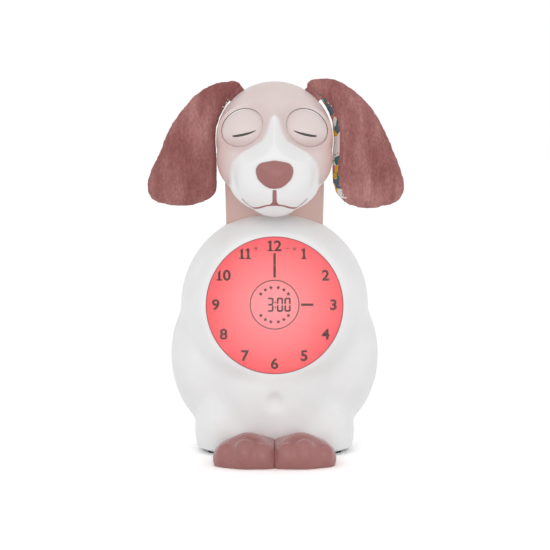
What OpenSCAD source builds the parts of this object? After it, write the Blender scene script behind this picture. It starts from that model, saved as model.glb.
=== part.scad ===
// Children's alarm clock with a night light, in the shape of a sitting dog.
// Millimetres, +Z up, the dog looks along -Y. The origin is on the ground, in the middle of
// the whole clock's width and depth. The pieces are drawn round the belly's upright axis.

/* [Belly] */
// Radius of the round belly
belly_r = 54; // [52:0.5:56]
// Height of the belly's centre above the ground
belly_z = 83; // [81:0.5:85]
// Wall of the body shells
wall = 2.2; // [1.8:0.1:2.6]
// Width of the flat rim that the belly keeps round the dial's lens
dial_rim = 2.05; // [1.6:0.05:2.6]
// Backward lean of the dial face, in degrees
dial_tilt = 5; // [3:1:7]
// Radius of the flat control panel on the belly's back
panel_r = 26.6; // [25.6:0.1:27.4]

/* [Haunches and base] */
// Radius of each haunch
haunch_r = 34; // [33:0.5:35]
// Sideways place of each haunch's centre
haunch_x = 26; // [25:0.5:27]
// Height of each haunch's centre
haunch_z = 52; // [50:0.5:54]
// Radius of the torso's round ends in plan, which is half its depth
torso_r = 37; // [36:0.5:38]
// Half distance between the centres of the torso's round ends
torso_x = 7.5; // [6:0.5:9]
// Height of the shells' lower edge above the ground
rim_z = 3; // [3:0.2:3.6]
// Thickness of the base plate
base_t = 1.8; // [1.6:0.1:2]
// Step in from the shells' outer face to the edge of the base plate
base_step = 1.5; // [1.2:0.1:1.7]
// Height of the base plate's locating lip inside the shells
lip_h = 4; // [3:0.5:5]
// Radius of a rubber foot
foot_r = 5; // [4:0.5:6]
// Depth to which a rubber foot sits in the base plate
foot_sink = 0.8; // [0.6:0.1:1]
// Distance of a rubber foot's centre from the torso's side
foot_in = 11.5; // [11:0.5:13]
// Half spacing of the rubber feet from front to back
foot_y = 16; // [14:0.5:18]

/* [Paws] */
// Width of one paw
paw_w = 33; // [31:0.5:35]
// Height of a paw
paw_h = 17.4; // [16:0.2:19]
// Reach of the toes in front of the belly's centre
paw_reach = 76; // [74:0.5:78]

/* [Dial] */
// Radius of the clear dial lens
lens_r = 38.2; // [37.5:0.1:38.6]
// Thickness of the dial lens
lens_t = 1.8; // [1.5:0.1:2.2]
// Width of the ledge that the lens is glued to
ledge_w = 2; // [1.5:0.1:2.5]
// Thickness of that ledge
ledge_t = 1.5; // [1.2:0.1:2]
// Thickness of the display glass
lcd_t = 2.2; // [1.8:0.1:2.6]
// Thickness of the light diffuser
diffuser_t = 2; // [1.5:0.1:2.5]
// Depth of the light box behind the diffuser
lightbox_h = 10; // [9:0.5:11]
// Wall of the light box
lightbox_wall = 1.6; // [1.4:0.1:1.8]
// Radius of the circle of night light lamps
led_ring_r = 25; // [22:0.5:28]
// Number of lamps on that circle
led_count = 12; // [8:1:16]

/* [Boards] */
// Thickness of every circuit board
board_t = 1.6; // [1.2:0.1:2]
// Width of the main board
main_w = 52; // [48:1:56]
// Height of the main board
main_h = 44; // [40:1:48]
// Length of the posts under the main board
main_post = 6; // [5:0.5:7]
// Width of the button board
keys_w = 40; // [40:0.5:42]
// Height of the button board
keys_h = 42; // [41:0.5:43]

/* [Controls on the back] */
// Radius of a button's cap
key_r = 4.2; // [3.8:0.1:4.6]
// Height of a button above the panel
key_proud = 1.5; // [1.2:0.1:2]
// Travel of a button
key_travel = 0.8; // [0.5:0.1:1]
// Radial gap round a button
key_gap = 0.3; // [0.2:0.05:0.4]
// Width of a button's flange beyond its hole
key_flange = 1; // [0.8:0.1:1.2]
// Length of the mode switch's knob
knob_l = 4; // [3:0.5:5]
// Height of the mode switch's knob
knob_h = 3; // [2.5:0.1:3.5]
// Travel of the mode switch
knob_travel = 5; // [4:0.5:6]

/* [Power and sound] */
// Radius of the round socket for the power plug
socket_r = 2.8; // [2.7:0.05:2.9]
// Depth of that socket
socket_l = 9.5; // [9:0.5:10]
// Radius of the socket's centre pin
socket_pin_r = 1; // [0.8:0.05:1.2]
// Height of the socket above the ground
socket_z = 12; // [11.8:0.1:12.6]
// Radius of the speaker
speaker_r = 12.5; // [11.5:0.5:13]
// Height of the speaker's centre above the ground
speaker_z = 31; // [30.5:0.5:33]
// Radius of a hole in the speaker grille
grille_hole_r = 0.9; // [0.7:0.05:1.1]
// Spacing of the holes in the speaker grille
grille_pitch = 3.6; // [3.2:0.1:4]
// Radius of a spare battery
cell_r = 5.25; // [5.1:0.05:5.3]
// Length of a spare battery
cell_l = 44.5; // [44:0.5:45]
// Gap between the batteries and round them
cell_gap = 0.8; // [0.6:0.1:1]
// Wall of the battery box
box_wall = 2.2; // [2:0.1:2.4]
// Thickness of the battery door
door_t = 1.5; // [1.2:0.1:1.6]
// Gap round the battery door
door_gap = 0.3; // [0.2:0.05:0.4]

/* [Neck] */
// Radius of the neck at its foot
neck_foot_r = 27.6; // [27:0.1:28]
// Radius of the neck under the head
neck_top_r = 28.6; // [28.2:0.1:29]
// Wall of the neck
neck_wall = 2.2; // [1.8:0.1:2.6]

/* [Head] */
// Height of the skull's centre above the belly's centre
skull_rise = 94.5; // [94:0.5:95.5]
// Radius of the skull
skull_r = 33.5; // [33:0.1:34]
// Wall of the head shells
head_wall = 2.2; // [1.9:0.1:2.4]
// Radius of the muzzle
muzzle_r = 22.5; // [22:0.1:23]
// Distance of the muzzle's centre in front of the skull's centre
muzzle_y = 34; // [33:0.5:35]
// Drop of the muzzle's centre below the skull's centre
muzzle_drop = 18; // [17:0.5:19]
// Width of the nose
nose_w = 20; // [19:0.5:21]
// Height of the nose
nose_h = 14.6; // [14:0.2:15.4]

/* [Eyes] */
// Radius of an eyeball
eye_r = 15; // [14.8:0.1:15.1]
// Sideways place of an eyeball's centre
eye_x = 15.1; // [15:0.1:15.6]
// Distance of the eye axle in front of the skull's centre
eye_y = 17; // [16.6:0.2:17.4]
// Height of the eye axle above the skull's centre
eye_rise = 2.7; // [2.4:0.1:3]
// Radius of the opening that an eyeball shows in
eye_open_r = 12.2; // [11.8:0.1:12.4]
// Running gap round an eyeball
eye_gap = 0.4; // [0.3:0.05:0.5]
// Wall of the eye socket
eye_socket_wall = 1.4; // [1.2:0.1:1.6]
// Wall of an eyeball
eye_wall = 1.8; // [1.5:0.1:2.2]
// Radius of the eye axle
axle_r = 1.5; // [1.3:0.1:1.7]
// Running clearance of an axle in its bearing
bearing_gap = 0.05; // [0.03:0.01:0.08]
// Radius of the motor's shaft
motor_shaft_r = 1; // [0.9:0.05:1.2]
// Radius of the eye motor
motor_r = 6; // [5.5:0.1:6.2]
// Distance of the eye motor's tail from the skull's side
motor_tail = 10.6; // [10.4:0.1:12.6]
// Tooth size of the eye gears, pitch diameter over teeth
gear_module = 1; // [1:0.01:1.01]
// Thickness of the eye gears
gear_t = 3; // [2.4:0.1:3.2]

/* [Ears] */
// Thickness of a soft ear
ear_t = 9; // [8:0.5:10]
// Lean of an ear's root from the vertical, in degrees
ear_lean = 40; // [38:1:42]
// Length of the slot that an ear's root passes through
ear_slot_l = 13; // [12:0.5:14]
// Width of that slot
ear_slot_w = 7.4; // [7:0.1:7.8]
// Thickness of an ear's root
ear_root_t = 2; // [1.6:0.1:2.2]
// Swing of an ear to the front and to the back, in degrees
ear_swing = 30; // [20:5:30]

/* [Screws] */
// Radius of a screw's shank
screw_r = 1.2; // [1.1:0.05:1.3]
// Radius of a screw's head
screw_head_r = 2.5; // [2.3:0.1:2.7]
// Height of a screw's head
screw_head_h = 1.6; // [1.4:0.1:1.8]
// Radial gap round a shank and a head
screw_gap = 0.05; // [0.04:0.01:0.08]

/* [Hidden] */
$fn = 64;
far = 200;
seat = 0.1; // gap of parts that are glued, pressed or screwed together
shut = 0.3; // gap of parts that lie close but move
grow = 0.6; // depth to which a rib or boss runs into its wall

white = "white";
blush = [0.88, 0.8, 0.78];
rose = [0.66, 0.44, 0.43];
glow = [1, 0.5, 0.52];
steel = [0.75, 0.76, 0.78];
board_green = [0.1, 0.4, 0.25];
black = [0.1, 0.1, 0.1];

// flat faces on the round belly, as distances from its centre
dial_dist = sqrt(pow(belly_r, 2) - pow(lens_r + dial_rim, 2));
panel_dist = sqrt(pow(belly_r, 2) - pow(panel_r, 2));

stand_y = (paw_reach - panel_dist - key_proud) / 2;
torso_top = belly_z - sqrt(belly_r * belly_r - torso_r * torso_r) + 2.3;

// in front the torso ends where the haunches grow wider than it, and a round bib carries the belly
hip_z = haunch_z - sqrt(pow(haunch_r, 2) - pow(torso_x + torso_r - haunch_x, 2)) + 1;
torso_lap = 10;
bib_r = 25;
bib_y = torso_r - bib_r - 0.5;
ankle_r = 14.5;
ankle_x = torso_x + torso_r - ankle_r - 1;
ankle_y = torso_r - 19.2;
ankle_z = haunch_z - haunch_r + 2;

paw_screw_x = torso_x;
paw_screw_z = 10.5;
paw_screw_l = 9;
paw_screw_lift = 0.15; // keeps a screw's flat head clear of the curved wall

// dial stack, measured forwards from the belly's centre along the dial's own axis
lens_back = dial_dist - lens_t;
ledge_back = lens_back - ledge_t;
ledge_out = 6;
lcd_front = ledge_back - seat;
lcd_back = lcd_front - lcd_t;
diffuser_front = lcd_back - seat;
diffuser_back = diffuser_front - diffuser_t;
lightbox_r = sqrt(pow(belly_r - wall, 2) - ledge_back * ledge_back) - shut;
stack_r = lightbox_r - lightbox_wall - shut;
lightbox_back = diffuser_back - seat - lightbox_h;
frame_tab_r = lightbox_r + 3.6;
frame_tab_t = 2;
main_front = lightbox_back - main_post;
main_back = main_front - board_t;
main_hole_x = main_w / 2 - 4;
main_hole_y = main_h / 2 - 4;

// what stands on the main board, with the near corner or the middle of each as [x, y]
chip_at = [-7, -4];
chip_w = 12;
chip_t = 1.6;
memory_at = [9, -2];
memory_w = 6;
memory_h = 5;
memory_t = 1.4;
buzzer_at = [-16, -2];
buzzer_r = 3.2;
buzzer_t = 5;
plug_w = 18;
plug_h = 5;
plug_t = 6;
upper_plug_y = 11;
lower_plug_y = -17;
crystal_at = [12, 6];
crystal_w = 8;
crystal_h = 3.2;
crystal_t = 3;

// screws that join the two body shells, as [x, z], each a little way in from the round wall
haunch_screw_in = 8.7;
haunch_screw_turn = 18.4;
belly_screw_in = 6.3;
belly_screw_turn = 33;
body_screw_at = [
    [haunch_x, haunch_z] + (haunch_r - haunch_screw_in) * [cos(haunch_screw_turn), sin(haunch_screw_turn)],
    [0, belly_z] + (belly_r - belly_screw_in) * [cos(belly_screw_turn), sin(belly_screw_turn)]];
boss_r = 3.6;
post_r = 3;
base_post_h = 14;
rear_boss_r = screw_head_r + screw_gap + 1.6;
body_screw_floor = 6;
body_screw_l = 14;

// control panel
panel_in = panel_dist - wall;
keys_back = panel_in - 8.2;
keys_front = keys_back - board_t;
key_hole_r = key_r + key_gap;
key_flange_r = key_hole_r + key_flange;
key_flange_t = 1;
key_stem_r = 1.5;
switch_w = 6;
switch_h = 3.4;
switch_plunger_r = 1.6;
switch_plunger_h = 0.6;
switch_slot = 1;
key_stem_end = switch_h + switch_plunger_h + key_travel + seat;
key_post_r = 2.6;
keys_hole_x = keys_w / 2 - 3;
keys_hole_z = keys_h / 2 - 3;
alarm_key_at = [14, 8];
light_key_at = [0, 12];
clock_key_at = [-14, 8];
minus_key_at = [-10, -6];
plus_key_at = [10, -6];
all_keys = [alarm_key_at, light_key_at, clock_key_at, minus_key_at, plus_key_at];
knob_drop = 17;
knob_flange = 1.4;
knob_flange_t = 1;
knob_pin = 1.6;

// speaker
speaker_front = torso_r - wall - 0.8;
speaker_h = 9;
speaker_flange_t = 1.4;
magnet_r = 8;
magnet_h = 3.6;
seat_ring_t = 1.6;

// power socket
inlet_w = 9;
inlet_nose_r = socket_r + 1.2;
inlet_front = torso_r - wall - seat;
inlet_back = inlet_front - socket_l - 2.3;

base_screw_x = torso_x + torso_r - 5.5;
base_screw_y = 9;
base_screw_l = 8;
foot_x = torso_x + torso_r - foot_in;

// battery box, cells side by side from front to back, close behind the power socket
cell_count = 3;
contact_room = 1.6;
pit_x = cell_l / 2 + contact_room;
pit_l = cell_count * 2 * cell_r + (cell_count + 1) * cell_gap;
pit_y = inlet_back - 0.75 - box_wall - pit_l / 2;
pit_front = pit_y - pit_l / 2;
pit_back = pit_y + pit_l / 2;
base_bottom = rim_z - base_t;
pit_top = rim_z + 2 * cell_r + cell_gap;
door_edge = 1;
door_front = pit_front - door_edge;
door_back = pit_back + box_wall + 4.4;
door_x = pit_x + door_edge;
door_top = base_bottom + door_t;
door_screw_y = pit_back + box_wall + 1.6;
door_boss_top = rim_z + 3;
door_screw_l = 3.5;
door_screw_play = 0.2; // lets the screw's tip swing out with the door
flat_head_h = 1;

// neck, centred on the belly's axis
neck_hole_r = neck_top_r - 0.4;
neck_flange_r = 30;
neck_flange_t = 2;
neck_flange_top = belly_z + sqrt(pow(belly_r - wall, 2) - neck_flange_r * neck_flange_r) - shut;
skull_z = belly_z + skull_rise;
neck_top = skull_z - 16; // the head's round form cuts it lower
spigot_r = skull_r - 9.7;
spigot_wall = 2;
collar_r = spigot_r + 1.6;
collar_t = 1.6;
collar_z = skull_z - sqrt(pow(skull_r - head_wall, 2) - collar_r * collar_r) + shut;
neck_web_z = skull_z - sqrt(skull_r * skull_r - spigot_r * spigot_r) - 4;

// head, a round skull and a round muzzle with a straight taper between them
muzzle_d = sqrt(muzzle_y * muzzle_y + muzzle_drop * muzzle_drop);
muzzle_dip = atan2(muzzle_drop, muzzle_y);
muzzle_tuck = 0.3;
nose_pin_r = 2;
top_screw_in = 8;
side_screw_in = 4.15;
side_screw_turn = 23;
head_screw_at = [[0, skull_r - top_screw_in],
    (skull_r - side_screw_in) * [cos(side_screw_turn), -sin(side_screw_turn)],
    (skull_r - side_screw_in) * [-cos(side_screw_turn), -sin(side_screw_turn)]];
head_screw_l = 10;
head_post_l = 14;
head_screw_floor = 4;

// eyes
eye_z = skull_z + eye_rise;
eye_look = [0.3, -0.8, 0.52];
eye_flat = 5.5;
hub_r = 3.4;
axle_l = 2 * (eye_x + 9);
eye_teeth = 28;
pinion_teeth = 16;
pressure_angle = 20;
gear_slack = 0.08; // play of a tooth at the pitch circle
flank_steps = 5;
gear_distance = pitch_r(eye_teeth) + pitch_r(pinion_teeth);
pinion_angle = -20;
pinion_at = [-eye_y + gear_distance * cos(pinion_angle), eye_z + gear_distance * sin(pinion_angle)];
cheek_in = gear_t / 2 + 0.8;
cheek_out = eye_flat - 0.7;
cheek_r = 4;
bracket_t = 2.4;
bracket_back = pinion_at[0] + pitch_r(pinion_teeth) + 2 * gear_module + bracket_t;
bracket_w = 34;
bracket_h = 14;
bracket_screw_x = 13;
bracket_screw_l = bracket_t + 5;
bracket_arm_end = 1;
motor_front = cheek_out + seat;
motor_shaft_in = 5;
motor_l = skull_r - motor_tail - motor_front;

// ears
ear_clear = 0.9;
ear_root_w = ear_slot_l - 1.6;
ear_pivot_z = skull_z + (skull_r - head_wall / 2) * cos(ear_lean);
anchor_r = 3.8;
anchor_gap = 1.8;
anchor_depth = skull_r - head_wall - anchor_r - anchor_gap;

// ---- shared shapes ----

// moves a piece from the belly's axis to the middle of the whole clock's footprint
module stand() translate([0, stand_y, 0]) children();

module front_half() translate([-far, -far, -far]) cube([2 * far, far, 3 * far]);

module rear_half() translate([-far, 0, -far]) cube([2 * far, far, 3 * far]);

// local +Z points out of the dial, local +Y points up its face
module dial_place() translate([0, 0, belly_z]) rotate([90 - dial_tilt, 0, 0]) children();

// a screw with its head's seat at the origin and its shank along -Z
module screw(length) {
    cylinder(r = screw_head_r, h = screw_head_h);
    translate([0, 0, -length]) cylinder(r = screw_r, h = length + 0.2);
}

module screw_hole(length) translate([0, 0, -length]) cylinder(r = screw_r + screw_gap, h = length + 1);

// ---- body ----

module torso_outline(inset) {
    for (side = [-1, 1]) translate([side * torso_x, 0]) circle(r = torso_r - inset);
    square([2 * torso_x, 2 * (torso_r - inset)], center = true);
}

// the body's form, set in by a distance, open downwards where it is set in
module body_form(inset) {
    foot = inset > 0 ? rim_z - 5 : rim_z;
    difference() {
        translate([0, 0, belly_z]) sphere(r = belly_r - inset);
        dial_place() translate([0, 0, dial_dist - inset]) cylinder(r = belly_r, h = belly_r);
        translate([0, panel_dist - inset, belly_z]) rotate([-90, 0, 0])
            cylinder(r = belly_r, h = belly_r);
    }
    for (side = [-1, 1]) translate([side * haunch_x, 0, haunch_z]) sphere(r = haunch_r - inset);
    for (side = [-1, 1]) translate([side * ankle_x, -ankle_y, ankle_z]) sphere(r = ankle_r - inset);
    translate([0, -bib_y, foot]) cylinder(r = bib_r - inset, h = torso_top - inset - foot);
    translate([0, 0, foot]) linear_extrude(hip_z - inset - foot) torso_outline(inset);
    translate([0, 0, foot]) linear_extrude(torso_top - inset - foot) intersection() {
        torso_outline(inset);
        translate([-far, inset - torso_lap]) square([2 * far, far]);
    }
}

module body_skin() difference() {
    body_form(0);
    body_form(wall);
}

module neck_hole() translate([0, 0, belly_z]) cylinder(r = neck_hole_r, h = belly_r + 10);

module at_body_screws() for (at = body_screw_at, side = [-1, 1])
    translate([side * at[0], 0, at[1]]) rotate([-90, 0, 0]) children();

module at_frame_screws() for (turn = [0, 180, 270])
    dial_place() rotate(turn) translate([frame_tab_r, 0, 0]) children();

// posts in the shells that the base plate is screwed to
module at_base_screws() for (x = [-base_screw_x, base_screw_x], y = [-base_screw_y, base_screw_y])
    translate([x, y, 0]) children();

// local +Z points backwards into the body
module paw_screw_place() for (side = [-1, 1])
    translate([side * paw_screw_x, paw_screw_lift + wall - torso_r, paw_screw_z])
        rotate([-90, 0, 0]) children();

module front_shell() color(white) stand() difference() {
    union() {
        body_skin();
        intersection() {
            body_form(grow);
            union() {
                dial_place() translate([0, 0, ledge_back])
                    cylinder(r = lens_r + ledge_out, h = 2 * (lens_t + ledge_t));
                at_body_screws() translate([0, 0, -belly_r]) cylinder(r = boss_r, h = belly_r - seat / 2);
                at_frame_screws() translate([0, 0, lightbox_back + frame_tab_t])
                    cylinder(r = post_r, h = belly_r);
                at_base_screws() translate([0, 0, rim_z + 0.01]) cylinder(r = post_r, h = base_post_h);
            }
        }
    }
    rear_half();
    neck_hole();
    dial_place() {
        translate([0, 0, ledge_back - 1]) cylinder(r = lens_r + shut - ledge_w, h = belly_r);
        translate([0, 0, lens_back]) cylinder(r = lens_r + shut, h = belly_r);
    }
    at_body_screws() screw_hole(body_screw_l - body_screw_floor + 1);
    at_frame_screws() translate([0, 0, lightbox_back + frame_tab_t + 6]) screw_hole(7);
    at_base_screws() translate([0, 0, rim_z + 8]) screw_hole(10);
    paw_screw_place() screw_hole(8);
}

module rear_shell() color(white) stand() difference() {
    union() {
        body_skin();
        intersection() {
            body_form(grow);
            union() {
                at_body_screws() translate([0, 0, seat / 2]) cylinder(r = rear_boss_r, h = belly_r);
                at_base_screws() translate([0, 0, rim_z + 0.01]) cylinder(r = post_r, h = base_post_h);
                at_key_posts() cylinder(r = key_post_r, h = belly_r);
                translate([0, speaker_front - speaker_flange_t, speaker_z]) rotate([-90, 0, 0])
                    difference() {
                        cylinder(r = speaker_r + seat_ring_t + seat, h = torso_r);
                        translate([0, 0, -1]) cylinder(r = speaker_r + seat, h = torso_r + 2);
                    }
            }
        }
    }
    front_half();
    neck_hole();
    at_body_screws() {
        translate([0, 0, -1]) cylinder(r = screw_r + screw_gap, h = belly_r);
        translate([0, 0, body_screw_floor]) cylinder(r = screw_head_r + screw_gap, h = belly_r);
    }
    at_base_screws() translate([0, 0, rim_z + 8]) screw_hole(10);
    at_key_posts() translate([0, 0, -1]) cylinder(r = screw_r + screw_gap, h = 6);
    at_keys() cylinder(r = key_hole_r, h = belly_r);
    translate([0, panel_dist, belly_z - knob_drop]) cube(
        [knob_l + knob_travel + 2 * shut, 4 * wall, knob_h + 2 * shut], center = true);
    translate([0, torso_r, socket_z]) rotate([90, 0, 0])
        cylinder(r = inlet_nose_r + seat, h = 2 * wall + 2, center = true);
    at_grille_holes() cylinder(r = grille_hole_r, h = torso_r);
}

// ---- base ----

module base_cover() color(white) stand() difference() {
    union() {
        translate([0, 0, base_bottom]) linear_extrude(base_t) torso_outline(base_step);
        translate([0, 0, rim_z - 0.01]) linear_extrude(lip_h) difference() {
            torso_outline(wall + shut);
            torso_outline(wall + shut + 1.8);
        }
        translate([-pit_x - box_wall, pit_front - box_wall, rim_z - 0.01])
            cube([2 * (pit_x + box_wall), pit_l + 2 * box_wall, pit_top - rim_z + box_wall]);
        translate([0, door_screw_y, rim_z - 0.01]) cylinder(r = post_r, h = door_boss_top - rim_z);
    }
    translate([-pit_x, pit_front, 0]) cube([2 * pit_x, pit_l, pit_top]);
    translate([-door_x - door_gap, door_front - door_gap, 0])
        cube([2 * (door_x + door_gap), door_back - door_front + 2 * door_gap, rim_z]);
    translate([0, door_screw_y, 0]) cylinder(r = screw_r + door_screw_play, h = 2 * door_boss_top);
    at_feet() cylinder(r = foot_r + seat, h = base_bottom + foot_sink);
    at_base_screws() {
        cylinder(r = screw_r + screw_gap, h = 20);
        cylinder(r = 4, h = base_bottom + 0.4);
        translate([0, 0, rim_z]) cylinder(r = post_r + shut, h = 20);
    }
}

module at_feet() for (x = [-foot_x, foot_x], y = [-foot_y, foot_y])
    translate([x, y, 0]) children();

module rubber_feet() color(black) stand() at_feet()
    cylinder(r = foot_r, h = base_bottom + foot_sink - 0.02);

// one closed solid of the paw on the dog's left side, which has +X
module paw() difference() {
    hull() {
        toe_r = paw_h * 0.48;
        translate([paw_w - toe_r, -paw_reach + 14, toe_r]) sphere(r = toe_r, $fn = 32);
        translate([toe_r + 0.15, -paw_reach + toe_r, toe_r * 0.95]) sphere(r = toe_r, $fn = 32);
        translate([paw_w * 0.62, -paw_reach + toe_r + 2, toe_r * 0.95]) sphere(r = toe_r, $fn = 32);
        translate([toe_r + 0.15, -torso_r, toe_r]) sphere(r = toe_r, $fn = 32);
        translate([paw_w - toe_r - 1, -torso_r, toe_r]) sphere(r = toe_r, $fn = 32);
        translate([paw_w * 0.5, -torso_r - 12, paw_h - toe_r]) sphere(r = toe_r, $fn = 32);
    }
    translate([-far, -far, -far]) cube([2 * far, 2 * far, far]);
    linear_extrude(far) torso_outline(-seat);
    paw_screw_place() screw_hole(paw_screw_l + 0.5);
}

module left_paw() color(rose) stand() paw();

module right_paw() color(rose) stand() mirror([1, 0, 0]) paw();

module paw_screws() color(steel) stand() paw_screw_place() screw(paw_screw_l);

// ---- dial and night light ----

module dial_lens() color(glow) stand() dial_place() translate([0, 0, lens_back]) difference() {
    cylinder(r = lens_r, h = lens_t);
    translate([0, 0, lens_t]) rotate_extrude() polygon([
        [lens_r - 0.6, 0.2], [lens_r + 1, 0.2], [lens_r + 1, -0.6], [lens_r, -0.6]]);
}

module display_glass() color(glow) stand() dial_place()
    translate([0, 0, lcd_back]) cylinder(r = stack_r, h = lcd_t);

module light_diffuser() color(white) stand() dial_place()
    translate([0, 0, diffuser_back]) cylinder(r = stack_r, h = diffuser_t);

module light_box() color(white) stand() dial_place() difference() {
    union() {
        translate([0, 0, lightbox_back - lightbox_wall])
            cylinder(r = lightbox_r, h = lcd_front - lightbox_back + lightbox_wall);
        for (turn = [0, 180, 270]) rotate(turn) {
            translate([lightbox_r - 2, -4, lightbox_back])
                cube([frame_tab_r - lightbox_r + 2, 8, frame_tab_t - seat]);
            translate([frame_tab_r, 0, lightbox_back]) cylinder(r = 4, h = frame_tab_t - seat);
        }
        for (x = [-1, 1], y = [-1, 1])
            translate([x * main_hole_x, y * main_hole_y, main_front + seat])
                cylinder(r = 2.6, h = main_post);
    }
    translate([0, 0, diffuser_back - seat]) cylinder(r = stack_r + shut, h = belly_r);
    translate([0, 0, lightbox_back]) cylinder(r = stack_r - 1, h = belly_r);
    for (turn = [0, 180, 270]) rotate(turn) translate([frame_tab_r, 0, lightbox_back - 1])
        cylinder(r = screw_r + screw_gap, h = 6);
    for (x = [-1, 1], y = [-1, 1]) translate([x * main_hole_x, y * main_hole_y, main_front - 1])
        cylinder(r = screw_r + screw_gap, h = main_post);
}

module light_box_screws() color(steel) stand() at_frame_screws()
    translate([0, 0, lightbox_back]) rotate([180, 0, 0]) screw(6.5);

module night_light_board() color(white) stand() dial_place()
    translate([0, 0, lightbox_back + seat]) cylinder(r = stack_r - 1.4, h = board_t);

module night_light_lamps() color([1, 0.9, 0.6]) stand() dial_place()
    translate([0, 0, lightbox_back + seat + board_t]) {
        for (i = [0:led_count - 1]) rotate(i * 360 / led_count) translate([led_ring_r, 0, 0])
            lamp();
        for (i = [0:3]) rotate(45 + i * 90) translate([led_ring_r * 0.42, 0, 0]) lamp();
    }

module lamp() {
    translate([-1.8, -1.8, 0]) cube([3.6, 3.6, 1.2]);
    translate([0, 0, 1]) cylinder(r = 1.4, h = 0.8);
}

module main_board() color(board_green) stand() dial_place() difference() {
    translate([-main_w / 2, -main_h / 2, main_back]) cube([main_w, main_h, board_t]);
    for (x = [-1, 1], y = [-1, 1]) translate([x * main_hole_x, y * main_hole_y, main_back - 1])
        cylinder(r = screw_r + screw_gap, h = board_t + 2);
}

// chips, a buzzer, a clock crystal and connectors on the main board's rear face
module board_parts() color(black) stand() dial_place() mirror([0, 0, 1]) translate([0, 0, -main_back]) {
    translate(chip_at) cube([chip_w, chip_w, chip_t]);
    translate(memory_at) cube([memory_w, memory_h, memory_t]);
    translate(buzzer_at) cylinder(r = buzzer_r, h = buzzer_t);
    for (y = [lower_plug_y, upper_plug_y]) translate([-plug_w / 2, y, 0]) cube([plug_w, plug_h, plug_t]);
    translate(crystal_at) cube([crystal_w, crystal_h, crystal_t]);
}

module main_board_screws() color(steel) stand() dial_place() for (x = [-1, 1], y = [-1, 1])
    translate([x * main_hole_x, y * main_hole_y, main_back]) rotate([180, 0, 0])
        screw(main_post);

// ---- controls ----

module at_keys() for (at = all_keys) key_place(at) children();

// local +Z points out of the back
module key_place(at) translate([at[0], keys_back, belly_z + at[1]]) rotate([-90, 0, 0]) children();

module at_key_posts() for (x = [-keys_hole_x, keys_hole_x], z = [-keys_hole_z, keys_hole_z])
    key_place([x, z]) translate([0, 0, seat]) children();

module key(at) {
    top = panel_dist + key_proud - keys_back;
    under = panel_in - shut - keys_back;
    key_place(at) {
        intersection() {
            translate([0, 0, under - key_flange_t]) cylinder(r = key_r, h = top);
            translate([0, 0, top - 3 * key_r]) sphere(r = 3 * key_r);
        }
        translate([0, 0, under - key_flange_t]) cylinder(r = key_flange_r, h = key_flange_t);
        translate([0, 0, key_stem_end]) cylinder(r = key_stem_r, h = under - shut - key_stem_end);
    }
}

module alarm_button() color(rose) stand() key(alarm_key_at);

module light_button() color(rose) stand() key(light_key_at);

module clock_button() color(rose) stand() key(clock_key_at);

module minus_button() color(rose) stand() key(minus_key_at);

module plus_button() color(rose) stand() key(plus_key_at);

module knob_place() translate([-knob_travel / 2, keys_back, belly_z - knob_drop])
    rotate([-90, 0, 0]) children();

module mode_switch() color(rose) stand() {
    top = panel_dist + key_proud - keys_back;
    under = panel_in - shut - keys_back;
    knob_place() {
        translate([-knob_l / 2, -knob_h / 2, under - 0.5]) cube([knob_l, knob_h, top - under + 0.5]);
        translate([-knob_l / 2 - knob_flange, -knob_h / 2 - knob_flange, under - knob_flange_t])
            cube([knob_l + 2 * knob_flange, knob_h + 2 * knob_flange, knob_flange_t]);
        translate([-knob_pin / 2, -knob_pin / 2, switch_h - switch_slot + shut])
            cube([knob_pin, knob_pin, under - switch_h + switch_slot - 2 * shut]);
    }
}

module button_board() color(board_green) stand() difference() {
    translate([-keys_w / 2, keys_front, belly_z - keys_h / 2]) cube([keys_w, board_t, keys_h]);
    at_key_posts() translate([0, 0, -board_t - 1]) cylinder(r = screw_r + screw_gap, h = board_t + 2);
}

module button_switches() color(black) stand() {
    at_keys() {
        translate([-switch_w / 2, -switch_w / 2, 0]) cube([switch_w, switch_w, switch_h]);
        translate([0, 0, switch_h - 0.1]) cylinder(r = switch_plunger_r, h = switch_plunger_h + 0.1);
    }
    key_place([0, -knob_drop]) difference() {
        translate([-knob_travel - 2.5, -2.5, 0]) cube([2 * knob_travel + 5, 5, switch_h]);
        translate([-knob_travel / 2 - knob_pin / 2 - shut, -knob_pin / 2 - shut, switch_h - switch_slot])
            cube([knob_travel + knob_pin + 2 * shut, knob_pin + 2 * shut, 2 * switch_slot]);
    }
}

module button_board_screws() color(steel) stand() at_key_posts()
    translate([0, 0, -board_t - seat]) rotate([180, 0, 0]) screw(board_t + 4);

// ---- sound and power ----

module speaker_place() translate([0, speaker_front, speaker_z]) rotate([-90, 0, 0]) children();

module at_grille_holes() speaker_place() for (i = [-3:3], j = [-3:3]) {
    x = i * grille_pitch + (j % 2 == 0 ? 0 : grille_pitch / 2);
    y = j * grille_pitch * 0.866;
    if (norm([x, y]) < speaker_r - 2) translate([x, y, -2]) children();
}

module speaker_frame() color(black) stand() speaker_place() rotate_extrude() difference() {
    polygon([[magnet_r - 1, -speaker_h], [magnet_r + 1.4, -speaker_h], [speaker_r - 1, -speaker_flange_t],
        [speaker_r, -speaker_flange_t], [speaker_r, 0], [speaker_r - 2.2, 0]]);
    square([magnet_r - 1, speaker_h]);
}

module speaker_cone() color([0.3, 0.3, 0.3]) stand() speaker_place() rotate_extrude()
    polygon([[0, -4.2], [3, -4.2], [speaker_r - 3.3, -0.8], [speaker_r - 2.9, -0.8],
        [speaker_r - 2.9, -1.5], [speaker_r - 3.3, -1.6], [3.6, -5.2], [0, -5.2]]);

module speaker_magnet() color(steel) stand() speaker_place()
    translate([0, 0, -speaker_h - magnet_h - 0.02]) cylinder(r = magnet_r, h = magnet_h);

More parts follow.
